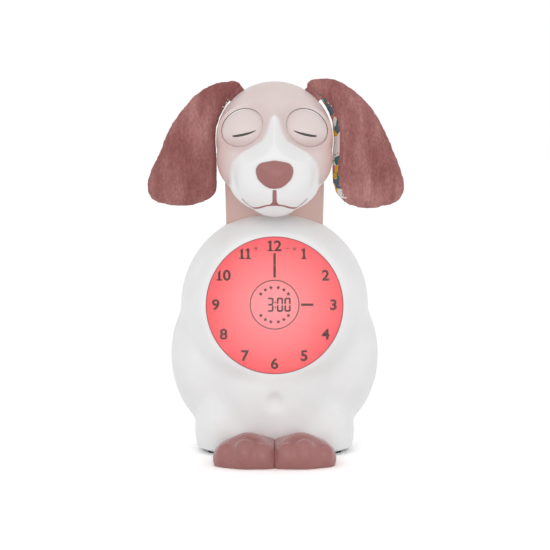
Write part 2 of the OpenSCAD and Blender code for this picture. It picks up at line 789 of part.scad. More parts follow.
module power_inlet() color(black) stand() {
    difference() {
        union() {
            translate([-inlet_w / 2, inlet_back, socket_z - inlet_w / 2])
                cube([inlet_w, inlet_front - inlet_back, inlet_w]);
            translate([0, inlet_front - 1, socket_z]) rotate([-90, 0, 0])
                cylinder(r = inlet_nose_r, h = torso_r - inlet_front + 1 - seat);
        }
        translate([0, torso_r - seat - socket_l, socket_z]) rotate([-90, 0, 0])
            cylinder(r = socket_r, h = socket_l + 1);
    }
    translate([0, torso_r - socket_l - 1, socket_z]) rotate([-90, 0, 0])
        cylinder(r = socket_pin_r, h = socket_l);
}

module battery_cells() color([0.8, 0.7, 0.3]) stand() for (i = [0:cell_count - 1])
    translate([0, pit_front + cell_gap + cell_r + i * (2 * cell_r + cell_gap), door_top + shut + cell_r])
        rotate([0, 90, 0]) {
            cylinder(r = cell_r, h = cell_l - 1, center = true);
            turn = i % 2 == 0 ? 1 : -1;
            translate([0, 0, turn * (cell_l / 2 - 0.5)]) cylinder(r = 1.9, h = 1, center = true);
        }

module battery_contacts() color(steel) stand() for (i = [0:cell_count - 1], side = [-1, 1])
    translate([side * (pit_x - 0.45), pit_front + cell_gap + cell_r + i * (2 * cell_r + cell_gap),
        door_top + shut + cell_r]) cube([0.7, 2 * cell_r - 2, 2 * cell_r - 3], center = true);

module battery_door() color(white) stand() difference() {
    translate([-door_x, door_front, base_bottom]) cube([2 * door_x, door_back - door_front, door_t]);
    translate([0, door_screw_y, 0]) cylinder(r = screw_r + screw_gap, h = 10);
}

module battery_door_screw() color(steel) stand() translate([0, door_screw_y, base_bottom])
    rotate([180, 0, 0]) {
        cylinder(r = screw_head_r, h = flat_head_h);
        translate([0, 0, -door_screw_l]) cylinder(r = screw_r, h = door_screw_l + 0.2);
    }

// ---- neck and head ----

module neck() color([0.81, 0.67, 0.63]) stand() difference() {
    union() {
        difference() {
            translate([0, 0, neck_flange_top - neck_flange_t])
                cylinder(r1 = neck_foot_r, r2 = neck_top_r, h = neck_top - neck_flange_top + neck_flange_t);
            translate([0, 0, skull_z]) sphere(r = skull_r + seat);
        }
        translate([0, 0, neck_flange_top - neck_flange_t]) intersection() {
            cylinder(r = neck_flange_r, h = neck_flange_t);
            translate([-far, -neck_foot_r - 0.9, 0]) cube([2 * far, far, neck_flange_t]);
        }
        translate([0, 0, neck_web_z]) cylinder(r = spigot_r, h = collar_z + collar_t - neck_web_z);
        translate([0, 0, collar_z]) cylinder(r = collar_r, h = collar_t);
    }
    translate([0, 0, belly_z]) cylinder(r = neck_foot_r - neck_wall, h = neck_web_z - belly_z);
    translate([0, 0, belly_z]) cylinder(r = spigot_r - spigot_wall, h = far);
    dial_place() translate([0, 0, lightbox_back - lightbox_wall - 1])
        cylinder(r = lightbox_r + shut, h = far);
}

module skull(inset) translate([0, 0, skull_z]) sphere(r = skull_r - inset);

// the muzzle and its taper towards the skull, turned about the line through both centres
module muzzle(inset) {
    big = skull_r - inset - muzzle_tuck;
    small = muzzle_r - inset;
    slope = asin((big - small) / muzzle_d);
    translate([0, 0, skull_z]) rotate([90 + muzzle_dip, 0, 0]) rotate_extrude() intersection() {
        union() {
            translate([0, muzzle_d]) circle(r = small);
            polygon([[0, 0], [big * cos(slope), big * sin(slope)],
                [small * cos(slope), muzzle_d + small * sin(slope)], [0, muzzle_d]]);
        }
        square([far, far]);
    }
}

module eye_place(side) translate([side * eye_x, -eye_y, eye_z]) children();

// local +Z looks out of an eye's opening
module eye_look_place(side) eye_place(side)
    rotate([0, 0, atan2(eye_look[1], side * eye_look[0])]) rotate([0, acos(eye_look[2]), 0]) children();

module head_form(inset, around) {
    skull(inset);
    difference() {
        muzzle(inset);
        translate([0, 0, belly_z]) cylinder(r = neck_top_r + 0.6 + inset, h = skull_rise - 14);
    }
    for (side = [-1, 1]) eye_place(side) sphere(r = around);
}

module head_skin() difference() {
    head_form(0, eye_r + eye_gap + eye_socket_wall);
    head_form(head_wall, eye_r + eye_gap);
}

module at_head_screws() for (at = head_screw_at)
    translate([at[0], 0, skull_z + at[1]]) rotate([-90, 0, 0]) children();

module ear_place(side) translate([0, 0, skull_z]) rotate([0, side * ear_lean, 0]) children();

module head_cuts() {
    translate([0, 0, belly_z]) cylinder(r = spigot_r + 0.4, h = skull_rise);
    for (side = [-1, 1]) {
        eye_look_place(side) cylinder(r = eye_open_r, h = far);
        ear_place(side) translate([-ear_slot_l / 2, -ear_slot_w / 2, skull_r - 6])
            cube([ear_slot_l, ear_slot_w, 20]);
    }
}

module head_front() color(blush) stand() difference() {
    union() {
        head_skin();
        intersection() {
            skull(grow);
            at_head_screws() translate([0, 0, -head_post_l])
                cylinder(r = post_r, h = head_post_l - seat / 2);
        }
    }
    rear_half();
    head_cuts();
    at_head_screws() screw_hole(head_screw_l - head_screw_floor + 1);
    translate([0, -muzzle_y, skull_z - muzzle_drop]) rotate([90, 0, 0])
        cylinder(r = nose_pin_r + seat / 2, h = far);
}

module head_rear() color(blush) stand() difference() {
    union() {
        head_skin();
        intersection() {
            skull(grow);
            union() {
                at_head_screws() translate([0, 0, seat / 2])
                    cylinder(r = screw_head_r + screw_gap + 1.4, h = skull_r);
                at_bracket_screws() translate([0, 0, bracket_t + seat]) cylinder(r = post_r, h = skull_r);
            }
        }
    }
    front_half();
    head_cuts();
    at_head_screws() {
        translate([0, 0, -1]) cylinder(r = screw_r + screw_gap, h = skull_r);
        translate([0, 0, head_screw_floor]) cylinder(r = screw_head_r + screw_gap, h = skull_r);
    }
    at_bracket_screws() translate([0, 0, -1]) cylinder(r = screw_r + screw_gap, h = bracket_screw_l + 3);
}

module nose() color(rose) stand() {
    lobe = nose_h * 0.32;
    tip_y = -muzzle_y - muzzle_r;
    translate([0, 0, skull_z - muzzle_drop]) {
        difference() {
            hull() {
                for (side = [-1, 1]) {
                    translate([side * (nose_w / 2 - lobe), tip_y + 2.4, nose_h / 2 - lobe])
                        sphere(r = lobe, $fn = 32);
                    translate([side * (nose_w * 0.2), tip_y + 1.6, lobe - nose_h / 2])
                        sphere(r = lobe, $fn = 32);
                }
                translate([0, tip_y + 1.2, nose_h / 2 - lobe]) sphere(r = lobe, $fn = 32);
            }
            translate([0, -muzzle_y, 0]) sphere(r = muzzle_r + seat, $fn = 96);
        }
        translate([0, tip_y + 5, 0]) rotate([90, 0, 0]) cylinder(r = nose_pin_r, h = 6);
    }
}

// ---- eyes ----

// a hollow ball with a flat towards the middle and a tube round the axle
module eye(side) eye_place(side) rotate([0, side * 90, 0]) rotate_extrude() difference() {
    intersection() {
        circle(r = eye_r);
        translate([0, eye_flat - eye_x]) square([eye_r, 2 * eye_r]);
    }
    difference() {
        circle(r = eye_r - eye_wall);
        square([2 * hub_r, 2 * far], center = true);
    }
    square([2 * (axle_r + seat / 4), 2 * far], center = true);
}

module left_eye() color(blush) stand() eye(1);

module right_eye() color(blush) stand() eye(-1);

module eye_axle() color(steel) stand() translate([-axle_l / 2, -eye_y, eye_z]) rotate([0, 90, 0])
    cylinder(r = axle_r, h = axle_l);

function pitch_r(teeth) = gear_module * teeth / 2;
function base_r(teeth) = pitch_r(teeth) * cos(pressure_angle);
function roll(radius, base) = radius <= base ? 0 : sqrt(pow(radius / base, 2) - 1);
function involute_angle(radius, base) = roll(radius, base) * 180 / PI - atan(roll(radius, base));

// half the angle that a tooth spans at a radius
function tooth_half(radius, teeth) = 90 / teeth - gear_slack / pitch_r(teeth) * 180 / PI
    + involute_angle(pitch_r(teeth), base_r(teeth)) - involute_angle(radius, base_r(teeth));

// a point at one radius, as far round as the tooth's flank is at another radius
function flank_point(radius, at, side, teeth) =
    radius * [cos(tooth_half(at, teeth)), side * sin(tooth_half(at, teeth))];

module gear_outline(teeth) {
    base = base_r(teeth);
    tip = pitch_r(teeth) + 0.9 * gear_module;
    root = pitch_r(teeth) - 1.15 * gear_module;
    rise = [for (k = [0:flank_steps]) base + (tip - base) * k / flank_steps];
    circle(r = root + 0.02);
    for (i = [0:teeth - 1]) rotate(i * 360 / teeth) polygon(concat(
        [[root - 0.5, 0], flank_point(root, base, -1, teeth)],
        [for (r = rise) flank_point(r, r, -1, teeth)],
        [for (k = [flank_steps:-1:0]) flank_point(rise[k], rise[k], 1, teeth)],
        [flank_point(root, base, 1, teeth)]));
}

// a gear in the plane across the clock's sides, with its local +Z along +X
module gear(teeth, turn, bore) translate([-gear_t / 2, 0, 0]) rotate([90, 0, 90])
    linear_extrude(gear_t) difference() {
        rotate(turn) gear_outline(teeth);
        circle(r = bore);
    }

module eye_gear() color(white) stand() translate([0, -eye_y, eye_z])
    gear(eye_teeth, pinion_angle, axle_r + seat / 4);

module motor_pinion() color(white) stand() translate([0, pinion_at[0], pinion_at[1]])
    gear(pinion_teeth, pinion_angle + 180 + 180 / pinion_teeth, motor_shaft_r + seat / 4);

module motor_shaft() color(steel) stand() translate([-gear_t / 2, pinion_at[0], pinion_at[1]])
    rotate([0, 90, 0]) cylinder(r = motor_shaft_r, h = gear_t / 2 + motor_front + motor_shaft_in - shut);

module eye_motor() color(steel) stand() translate([motor_front, pinion_at[0], pinion_at[1]])
    rotate([0, 90, 0]) difference() {
        cylinder(r = motor_r, h = motor_l);
        translate([0, 0, -1]) cylinder(r = motor_shaft_r + bearing_gap, h = motor_shaft_in + 1);
    }

module at_bracket_screws() for (side = [-1, 1])
    translate([side * bracket_screw_x, bracket_back - bracket_t, pinion_at[1]]) rotate([-90, 0, 0])
        children();

module eye_bracket() color(white) stand() difference() {
    union() {
        for (side = [-1, 1]) hull() {
            translate([side * (cheek_in + cheek_out) / 2, -eye_y, eye_z]) rotate([0, 90, 0])
                cylinder(r = cheek_r, h = cheek_out - cheek_in, center = true, $fn = 32);
            translate([side * (cheek_in + cheek_out) / 2, bracket_back - bracket_arm_end, pinion_at[1]])
                cube([cheek_out - cheek_in, bracket_arm_end, bracket_h], center = true);
        }
        translate([-bracket_w / 2, bracket_back - bracket_t, pinion_at[1] - bracket_h / 2])
            cube([bracket_w, bracket_t, bracket_h]);
    }
    translate([-eye_r, -eye_y, eye_z]) rotate([0, 90, 0])
        cylinder(r = axle_r + bearing_gap, h = 2 * eye_r);
    translate([-eye_r, pinion_at[0], pinion_at[1]]) rotate([0, 90, 0])
        cylinder(r = motor_shaft_r + 1, h = 2 * eye_r);
    at_bracket_screws() translate([0, 0, -1]) cylinder(r = screw_r + screw_gap, h = bracket_t + 2);
}

module bracket_screws() color(steel) stand() at_bracket_screws()
    rotate([180, 0, 0]) screw(bracket_screw_l);

// ---- ears ----

// outline points of the ear on the +X side, as [x, height over the skull's centre, radius share]
ear_points = [[20.5, 30, 0.5], [28, 30.6, 0.85], [35, 29.4, 0.95], [48.5, 19, 1], [59, 3.5, 1],
    [66, -13.5, 1], [69.5, -27.5, 1], [66, -31.2, 1], [55, -34.2, 1], [46, -33.5, 1], [38.5, -29, 1],
    [37.8, -17.5, 1], [38.5, 7.5, 1]];

module ear() difference() {
    union() {
        hull() for (point = ear_points)
            translate([point[0], 0, skull_z + point[1]]) sphere(r = point[2] * ear_t / 2, $fn = 28);
        ear_root();
    }
    difference() {
        for (swing = [-ear_swing, 0, ear_swing]) translate([0, 0, ear_pivot_z]) rotate([swing, 0, 0])
            translate([0, 0, skull_z - ear_pivot_z]) sphere(r = skull_r + ear_clear, $fn = 96);
        ear_root();
    }
}

module ear_root() ear_place(1) translate([-ear_root_w / 2, -ear_root_t / 2, anchor_depth + shut])
    cube([ear_root_w, ear_root_t, skull_r + 2.5 - anchor_depth - shut]);

module left_ear() color(rose) stand() ear();

module right_ear() color(rose) stand() mirror([1, 0, 0]) ear();

// the moulded toggle that the ear's root is sewn round inside the head
module ear_anchor() ear_place(1) translate([0, 0, anchor_depth]) difference() {
    rotate([0, 90, 0]) cylinder(r = anchor_r, h = ear_slot_l - 2, center = true);
    translate([-far, -ear_root_t / 2 - seat, 0]) cube([2 * far, ear_root_t + 2 * seat, 2 * anchor_r]);
}

module left_ear_anchor() color(white) stand() ear_anchor();

module right_ear_anchor() color(white) stand() mirror([1, 0, 0]) ear_anchor();

// ---- screws ----

module body_screws() color(steel) stand() at_body_screws()
    translate([0, 0, body_screw_floor]) screw(body_screw_l);

module base_screws() color(steel) stand() at_base_screws() translate([0, 0, base_bottom + 0.4])
    rotate([180, 0, 0]) {
        cylinder(r = screw_head_r, h = flat_head_h);
        translate([0, 0, -base_screw_l]) cylinder(r = screw_r, h = base_screw_l + 0.2);
    }

module head_screws() color(steel) stand() at_head_screws()
    translate([0, 0, head_screw_floor]) screw(head_screw_l);

front_shell();
rear_shell();
base_cover();
rubber_feet();
left_paw();
right_paw();
paw_screws();
dial_lens();
display_glass();
light_diffuser();
light_box();
night_light_board();
night_light_lamps();
main_board();
board_parts();
button_board();
button_switches();
alarm_button();
light_button();
clock_button();
minus_button();
plus_button();
mode_switch();
speaker_frame();
speaker_cone();
speaker_magnet();
power_inlet();
battery_cells();
battery_contacts();
battery_door();
battery_door_screw();
neck();
head_front();
head_rear();
nose();
left_eye();
right_eye();
eye_axle();
eye_gear();
motor_pinion();
motor_shaft();
eye_motor();
eye_bracket();
left_ear();
right_ear();
left_ear_anchor();
right_ear_anchor();
body_screws();
base_screws();
light_box_screws();
main_board_screws();
button_board_screws();
bracket_screws();
head_screws();
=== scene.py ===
import math
import bpy
from mathutils import Matrix, Vector


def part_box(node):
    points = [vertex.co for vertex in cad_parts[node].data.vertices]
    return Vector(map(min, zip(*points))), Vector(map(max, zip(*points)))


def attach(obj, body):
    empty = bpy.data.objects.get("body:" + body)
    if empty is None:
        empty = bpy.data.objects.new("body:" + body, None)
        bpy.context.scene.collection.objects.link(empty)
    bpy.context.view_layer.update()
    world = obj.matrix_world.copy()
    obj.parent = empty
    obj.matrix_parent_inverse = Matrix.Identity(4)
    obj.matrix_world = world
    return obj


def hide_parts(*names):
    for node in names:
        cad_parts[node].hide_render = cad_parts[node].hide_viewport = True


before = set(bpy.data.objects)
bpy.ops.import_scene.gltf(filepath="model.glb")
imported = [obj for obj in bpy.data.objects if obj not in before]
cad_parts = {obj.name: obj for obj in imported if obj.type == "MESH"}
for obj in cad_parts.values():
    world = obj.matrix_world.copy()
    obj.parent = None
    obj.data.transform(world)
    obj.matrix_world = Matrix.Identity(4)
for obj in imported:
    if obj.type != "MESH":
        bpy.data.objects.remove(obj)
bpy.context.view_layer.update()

mm = 0.001
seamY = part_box("front_shell")[1].y  # the belly's upright axis, where the two shells meet
rootBody = "clock"
backwards = (-math.pi / 2, 0, 0)  # turns a rod's length from up to the back


def place(x, y, z):
    # millimetres from the belly's axis, as metres in the frame
    return Vector((x * mm, seamY + y * mm, z * mm))


def deselectAll():
    if bpy.context.object and bpy.context.object.mode != "OBJECT":
        bpy.ops.object.mode_set(mode="OBJECT")
    bpy.ops.object.select_all(action="DESELECT")


def pick(piece, *others):
    deselectAll()
    for other in others:
        other.select_set(True)
    piece.select_set(True)
    bpy.context.view_layer.objects.active = piece
    return piece


def named(name):
    piece = bpy.context.object
    piece.name = name
    piece.data.name = name
    return piece


def settle(piece):
    # puts the piece's place, turn and scale into its mesh
    pick(piece)
    bpy.ops.object.transform_apply(location=True, rotation=True, scale=True)
    return piece


def moved(piece, matrix):
    # carries a settled piece to another place by a matrix
    piece.matrix_world = matrix
    return settle(piece)


def onWholeMesh(operator, **values):
    # runs one edit mode operator on all of the picked piece's mesh
    bpy.ops.object.mode_set(mode="EDIT")
    bpy.ops.mesh.select_all(action="SELECT")
    operator(**values)
    bpy.ops.object.mode_set(mode="OBJECT")


def addBall(name, radii, at, turn=(0, 0, 0), segments=48, rings=32):
    # a ball, or an egg where three radii are given
    size = (radii,) * 3 if isinstance(radii, (int, float)) else radii
    deselectAll()
    bpy.ops.mesh.primitive_uv_sphere_add(
        segments=segments, ring_count=rings, radius=1, location=at, rotation=turn,
        scale=[r * mm for r in size])
    return settle(named(name))


def addFineBall(name, radius, at):
    return addBall(name, radius, at, segments=96, rings=64)


def addPair(name, radii, at):
    # the same ball on either side of the middle
    x, y, z = at
    return [addBall(name, radii, place(side * x, y, z)) for side in (-1, 1)]


def addRod(name, radius, height, at, turn=(0, 0, 0), topRadius=None, vertices=96, scale=(1, 1, 1)):
    # a cylinder or cone with its lower end at the given point before it's turned about that end
    spinX, spinY, spinZ = (Matrix.Rotation(turn[i], 3, "XYZ"[i]) for i in range(3))
    middle = Vector(at) + spinZ @ spinY @ spinX @ Vector((0, 0, height * mm / 2))
    top = radius if topRadius is None else topRadius
    deselectAll()
    bpy.ops.mesh.primitive_cone_add(
        vertices=vertices, radius1=radius * mm, radius2=top * mm, depth=height * mm,
        location=middle, rotation=turn, scale=scale)
    return settle(named(name))


def addDrill(name, radius, length, spot, vertices=32):
    # a rod that runs from a spot straight to the back
    return addRod(name, radius, length, place(*spot), backwards, vertices=vertices)


def addBlock(name, low, high):
    deselectAll()
    bpy.ops.mesh.primitive_cube_add(size=1, location=(low + high) / 2, scale=high - low)
    return settle(named(name))


def addOutline(name, points, thickness, matrix=None):
    # a flat plate with the given outline in its own XY plane, in millimetres, raised along +Z
    deselectAll()
    bpy.ops.mesh.primitive_circle_add(vertices=len(points), radius=1, fill_type="NGON")
    piece = named(name)
    for vertex, (x, y) in zip(piece.data.vertices, points):
        vertex.co = (x * mm, y * mm, 0)
    onWholeMesh(bpy.ops.mesh.extrude_region_move, TRANSFORM_OT_translate={"value": (0, 0, thickness * mm)})
    onWholeMesh(bpy.ops.mesh.normals_make_consistent, inside=False)
    return moved(piece, matrix) if matrix else piece


def ringPoints(radius, count, start=0, at=(0, 0)):
    # the corners of a round outline
    turns = [start + math.tau * i / count for i in range(count)]
    return [(at[0] + radius * math.cos(turn), at[1] + radius * math.sin(turn)) for turn in turns]


def bar(cx, cy, width, height):
    # the corners of a bar about its middle
    x, y = width / 2, height / 2
    return [(cx - x, cy - y), (cx + x, cy - y), (cx + x, cy + y), (cx - x, cy + y)]


def joinAll(name, pieces):
    pick(*pieces)
    if len(pieces) > 1:
        bpy.ops.object.join()
    return named(name)


def hullOf(name, pieces):
    piece = joinAll(name, pieces)
    onWholeMesh(bpy.ops.mesh.convex_hull)
    return piece


def applyModifier(piece, kind, **values):
    pick(piece)
    modifier = piece.modifiers.new(kind.title(), kind)
    for key, value in values.items():
        setattr(modifier, key, value)
    bpy.ops.object.modifier_apply(modifier=modifier.name)
    return piece


def cut(piece, tool, keepTool=False):
    applyModifier(piece, "BOOLEAN", object=tool, operation="DIFFERENCE", solver="EXACT")
    if not keepTool:
        bpy.data.objects.remove(tool)
    return piece


def oneSkin(piece, grain, smooth=False):
    # one closed skin over forms that run into each other
    return applyModifier(piece, "REMESH", mode="VOXEL", voxel_size=grain * mm, use_smooth_shade=smooth)


def soften(piece, passes):
    return applyModifier(piece, "SMOOTH", factor=0.5, iterations=passes)


def meltTogether(piece, grain, passes):
    return soften(oneSkin(piece, grain, True), passes)


def smoothShade(piece, degrees=35):
    pick(piece)
    bpy.ops.object.shade_smooth_by_angle(angle=math.radians(degrees))
    return piece


def copyOf(piece, name):
    pick(piece)
    bpy.ops.object.duplicate()
    return named(name)


def mirrored(piece, name):
    # the same piece on the clock's other side
    twin = copyOf(piece, name)
    twin.scale.x = -1
    settle(twin)
    onWholeMesh(bpy.ops.mesh.normals_make_consistent, inside=False)
    return twin


def surfaceFrom(form, start, toward):
    # where a straight line from inside a form leaves it, and the form's normal there
    direction = (toward - start).normalized()
    hit, spot, normal, face = form.ray_cast(start + direction * 0.2, -direction)
    return (spot, normal) if hit else (toward, direction)


def finePath(points, count):
    # a smooth line through points that each hold any number of values
    rows = [points[0], *points, points[-1]]
    fine = []
    for knots in zip(rows, rows[1:], rows[2:], rows[3:]):
        for i in range(count):
            t = i / count
            fine.append([0.5 * (2 * q + (r - p) * t + (2 * p - 5 * q + 4 * r - w) * t ** 2
                + (3 * q - p - 3 * r + w) * t ** 3) for p, q, r, w in zip(*knots)])
    return fine + [list(points[-1])]


def ridgeRadius(half, proud):
    # the radius of a tube that is half as wide as given where it stands out of a surface
    return (half * half + proud * proud) / (2 * proud)


def taperedTube(name, points, radii):
    # a smooth tube through points, with a radius in metres at each
    deselectAll()
    bpy.ops.curve.primitive_nurbs_path_add()
    curve = named(name).data
    spline = curve.splines[0]
    spline.points.add(len(points) - len(spline.points))
    for holder, point, radius in zip(spline.points, points, radii):
        holder.co = (*point, 1)
        holder.radius = radius
    spline.use_endpoint_u = True
    spline.order_u = 3
    curve.dimensions = "3D"
    curve.bevel_depth = 1
    curve.bevel_resolution = 8
    curve.use_fill_caps = True
    curve.resolution_u = 8
    bpy.ops.object.convert(target="MESH")
    return smoothShade(settle(named(name)), 60)


def newMaterial(name, colour, roughness, sockets=None):
    material = bpy.data.materials.new(name)
    material.use_nodes = True
    tree = material.node_tree
    shader = tree.nodes["Principled BSDF"]
    values = {"Base Color": (*colour, 1), "Roughness": roughness, **(sockets or {})}
    for socket, value in values.items():
        shader.inputs[socket].default_value = value
    tree.nodes.new("ShaderNodeTexCoord").name = "Coords"
    return material, tree, shader


def feed(tree, socket, value):
    # a number or a colour is set, another node's output is linked
    if isinstance(value, (int, float)):
        socket.default_value = value
    elif isinstance(value, tuple):
        socket.default_value = (*value, 1)
    else:
        tree.links.new(value, socket)


def noiseOn(tree, scale, detail=3, roughness=0.5, stretch=(1, 1, 1)):
    mapping = tree.nodes.new("ShaderNodeMapping")
    mapping.inputs["Scale"].default_value = stretch
    noise = tree.nodes.new("ShaderNodeTexNoise")
    noise.inputs["Scale"].default_value = scale
    noise.inputs["Detail"].default_value = detail
    noise.inputs["Roughness"].default_value = roughness
    tree.links.new(tree.nodes["Coords"].outputs["Object"], mapping.inputs["Vector"])
    tree.links.new(mapping.outputs["Vector"], noise.inputs["Vector"])
    return noise.outputs["Fac"]


def cellsOn(tree, scale):
    cells = tree.nodes.new("ShaderNodeTexVoronoi")
    cells.inputs["Scale"].default_value = scale
    tree.links.new(tree.nodes["Coords"].outputs["Object"], cells.inputs["Vector"])
    return cells


def rampOf(tree, factor, stops):
    # stops as (position, (r, g, b))
    ramp = tree.nodes.new("ShaderNodeValToRGB")
    elements = ramp.color_ramp.elements
    while len(elements) < len(stops):
        elements.new(0.5)
    for element, (position, colour) in zip(elements, stops):
        element.position = position
        element.color = (*colour, 1)
    tree.links.new(factor, ramp.inputs["Fac"])
    return ramp.outputs["Color"]


def toneRamp(tree, factor, stops):
    # stops as (position, screen colour)
    return rampOf(tree, factor, [(position, tone(*colour)) for position, colour in stops])


def rangeOf(tree, value, fromLow, fromHigh, toLow, toHigh, smooth=False):
    node = tree.nodes.new("ShaderNodeMapRange")
    node.interpolation_type = "SMOOTHSTEP" if smooth else "LINEAR"
    for key, number in (("From Min", fromLow), ("From Max", fromHigh), ("To Min", toLow), ("To Max", toHigh)):
        node.inputs[key].default_value = number
    tree.links.new(value, node.inputs["Value"])
    return node.outputs["Result"]


def mathOf(tree, operation, *values):
    node = tree.nodes.new("ShaderNodeMath")
    node.operation = operation
    for socket, value in zip(node.inputs, values):
        feed(tree, socket, value)
    return node.outputs["Value"]


def mixOf(tree, factor, first, second, blend="MIX"):
    node = tree.nodes.new("ShaderNodeMix")
    node.data_type = "RGBA"
    node.blend_type = blend
    for i, value in ((0, factor), (6, first), (7, second)):
        feed(tree, node.inputs[i], value)
    return node.outputs[2]


def bumpOn(tree, shader, height, distance, strength=1.0):
    bump = tree.nodes.new("ShaderNodeBump")
    bump.inputs["Distance"].default_value = distance * mm
    bump.inputs["Strength"].default_value = strength
    tree.links.new(height, bump.inputs["Height"])
    tree.links.new(bump.outputs["Normal"], shader.inputs["Normal"])


def tone(red, green, blue):
    # a screen colour, 0 to 255, as the shader's own linear values
    return tuple(((c / 255 + 0.055) / 1.055) ** 2.4 if c > 10 else c / 3294 for c in (red, green, blue))


def axisOf(tree, axis, offset=0.0):
    # one coordinate of the frame in millimetres, counted from an offset
    split = tree.nodes.get("Split")
    if split is None:
        split = tree.nodes.new("ShaderNodeSeparateXYZ")
        split.name = "Split"
        tree.links.new(tree.nodes["Coords"].outputs["Object"], split.inputs["Vector"])
    return mathOf(tree, "SUBTRACT", mathOf(tree, "MULTIPLY", split.outputs[axis], 1000), offset)


def distanceTo(tree, point):
    # distance of the surface from a point of the frame, in millimetres
    node = tree.nodes.new("ShaderNodeVectorMath")
    node.operation = "DISTANCE"
    node.inputs[1].default_value = point
    tree.links.new(tree.nodes["Coords"].outputs["Object"], node.inputs[0])
    return mathOf(tree, "MULTIPLY", node.outputs["Value"], 1000)


def mottled(tree, noise, colour, spread):
    # a colour that wavers a little with a noise
    darker = tuple(c * (1 - spread) for c in colour)
    lighter = tuple(min(1, c * (1 + spread)) for c in colour)
    return rampOf(tree, noise, [(0.3, darker), (0.7, lighter)])


def mouldedPlastic(name, colour, roughness, mottle=0.03):
    # moulded plastic: faint cloudiness in the colour, a fine spark-eroded grain, uneven gloss
    material, tree, shader = newMaterial(name, colour, roughness, {"IOR": 1.5, "Specular IOR Level": 0.4})
    tree.links.new(mottled(tree, noiseOn(tree, 45, 4), colour, mottle), shader.inputs["Base Color"])
    gloss = rangeOf(tree, noiseOn(tree, 260, 3), 0.3, 0.7, roughness - 0.05, roughness + 0.06)
    tree.links.new(gloss, shader.inputs["Roughness"])
    bumpOn(tree, shader, noiseOn(tree, 2600, 2, 0.6), 0.02)
    return material


def plainFinish(name, colour, roughness, metallic=0.0, bump=0.015):
    # a finish with slight changes in colour and gloss over the surface
    material, tree, shader = newMaterial(name, colour, roughness, {"Metallic": metallic})
    cloud = noiseOn(tree, 300, 3)
    tree.links.new(mottled(tree, cloud, colour, 0.06), shader.inputs["Base Color"])
    gloss = rangeOf(tree, cloud, 0.3, 0.7, roughness * 0.85, min(1, roughness * 1.15))
    tree.links.new(gloss, shader.inputs["Roughness"])
    if bump:
        bumpOn(tree, shader, noiseOn(tree, 1800, 2), bump)
    return material


def paint(piece, material):
    piece.data.materials.clear()
    piece.data.materials.append(material)
    return piece


def finishPiece(piece, material, body, slot, *stoodFor):
    settle(piece)
    paint(piece, material)
    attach(piece, body)
    if stoodFor:
        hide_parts(*stoodFor)
    return piece


studio = {
    "distance": 1.2, "rise": 5, "aimHeight": 100, "aimX": 0.23, "viewWidth": 550, "focalPixels": 2087,
    "sensor": 36,
    "worldLight": 0.8,
    "keyPower": 1.6, "keySize": 0.8, "keyAt": (-0.75, -1.25, 1.25),
    "fillPower": 7.2, "fillSize": 1.3, "fillAt": (0.15, -1.7, 0.2),
    "floorSize": 8, "floorGrey": 0.93, "floorSeen": 1.3,
}


def standAt(data, spot, aim):
    # puts a camera or a lamp on its spot and turns it to the aim
    holder = bpy.data.objects.new(data.name, data)
    bpy.context.scene.collection.objects.link(holder)
    holder.location = spot
    holder.rotation_euler = (aim - holder.location).to_track_quat("-Z", "Y").to_euler()
    return holder


def seenInstead(tree, lighting, seen, output):
    # the camera, gloss and clear pieces see one shader, while the other lights the clock
    path = tree.nodes.new("ShaderNodeLightPath")
    rays = mathOf(tree, "MAXIMUM", path.outputs["Is Camera Ray"], path.outputs["Is Glossy Ray"])
    rays = mathOf(tree, "MAXIMUM", rays, path.outputs["Is Transmission Ray"])
    mix = tree.nodes.new("ShaderNodeMixShader")
    tree.links.new(rays, mix.inputs["Fac"])
    tree.links.new(lighting.outputs[0], mix.inputs[1])
    tree.links.new(seen.outputs[0], mix.inputs[2])
    tree.links.new(mix.outputs["Shader"], output.inputs["Surface"])


def makeStudio():
    print("studio")
    s = studio
    scene = bpy.context.scene
    scene.view_settings.view_transform = "Standard"
    aim = place(s["aimX"], 0, s["aimHeight"])
    rise = math.radians(s["rise"])
    data = bpy.data.cameras.new("camera")
    data.sensor_width = s["sensor"]
    data.lens = s["sensor"] * s["focalPixels"] / s["viewWidth"]
    data.clip_start, data.clip_end = 0.05, 50
    scene.camera = standAt(data, aim + s["distance"] * Vector((0, -math.cos(rise), math.sin(rise))), aim)
    for name in ("key", "fill"):
        lamp = bpy.data.lights.new(name + "Lamp", "AREA")
        lamp.size = s[name + "Size"]
        lamp.energy = s[name + "Power"]
        standAt(lamp, s[name + "At"], aim)

    world = bpy.data.worlds.new("studioAir")
    scene.world = world
    world.use_nodes = True
    tree = world.node_tree
    light = tree.nodes["Background"]
    light.inputs["Strength"].default_value = s["worldLight"]
    backdrop = tree.nodes.new("ShaderNodeBackground")
    for background in (light, backdrop):
        background.inputs["Color"].default_value = (1, 1, 1, 1)
    seenInstead(tree, light, backdrop, tree.nodes["World Output"])

    deselectAll()
    bpy.ops.mesh.primitive_plane_add(size=s["floorSize"], location=(0, 0, 0))
    floor = named("floor")
    material, tree, shader = newMaterial("floorWhite", (s["floorGrey"],) * 3, 0.9, {"Specular IOR Level": 0})
    paler = tree.nodes.new("ShaderNodeBsdfDiffuse")
    paler.inputs["Color"].default_value = (s["floorSeen"],) * 3 + (1,)
    seenInstead(tree, shader, paler, tree.nodes["Material Output"])
    paint(floor, material)


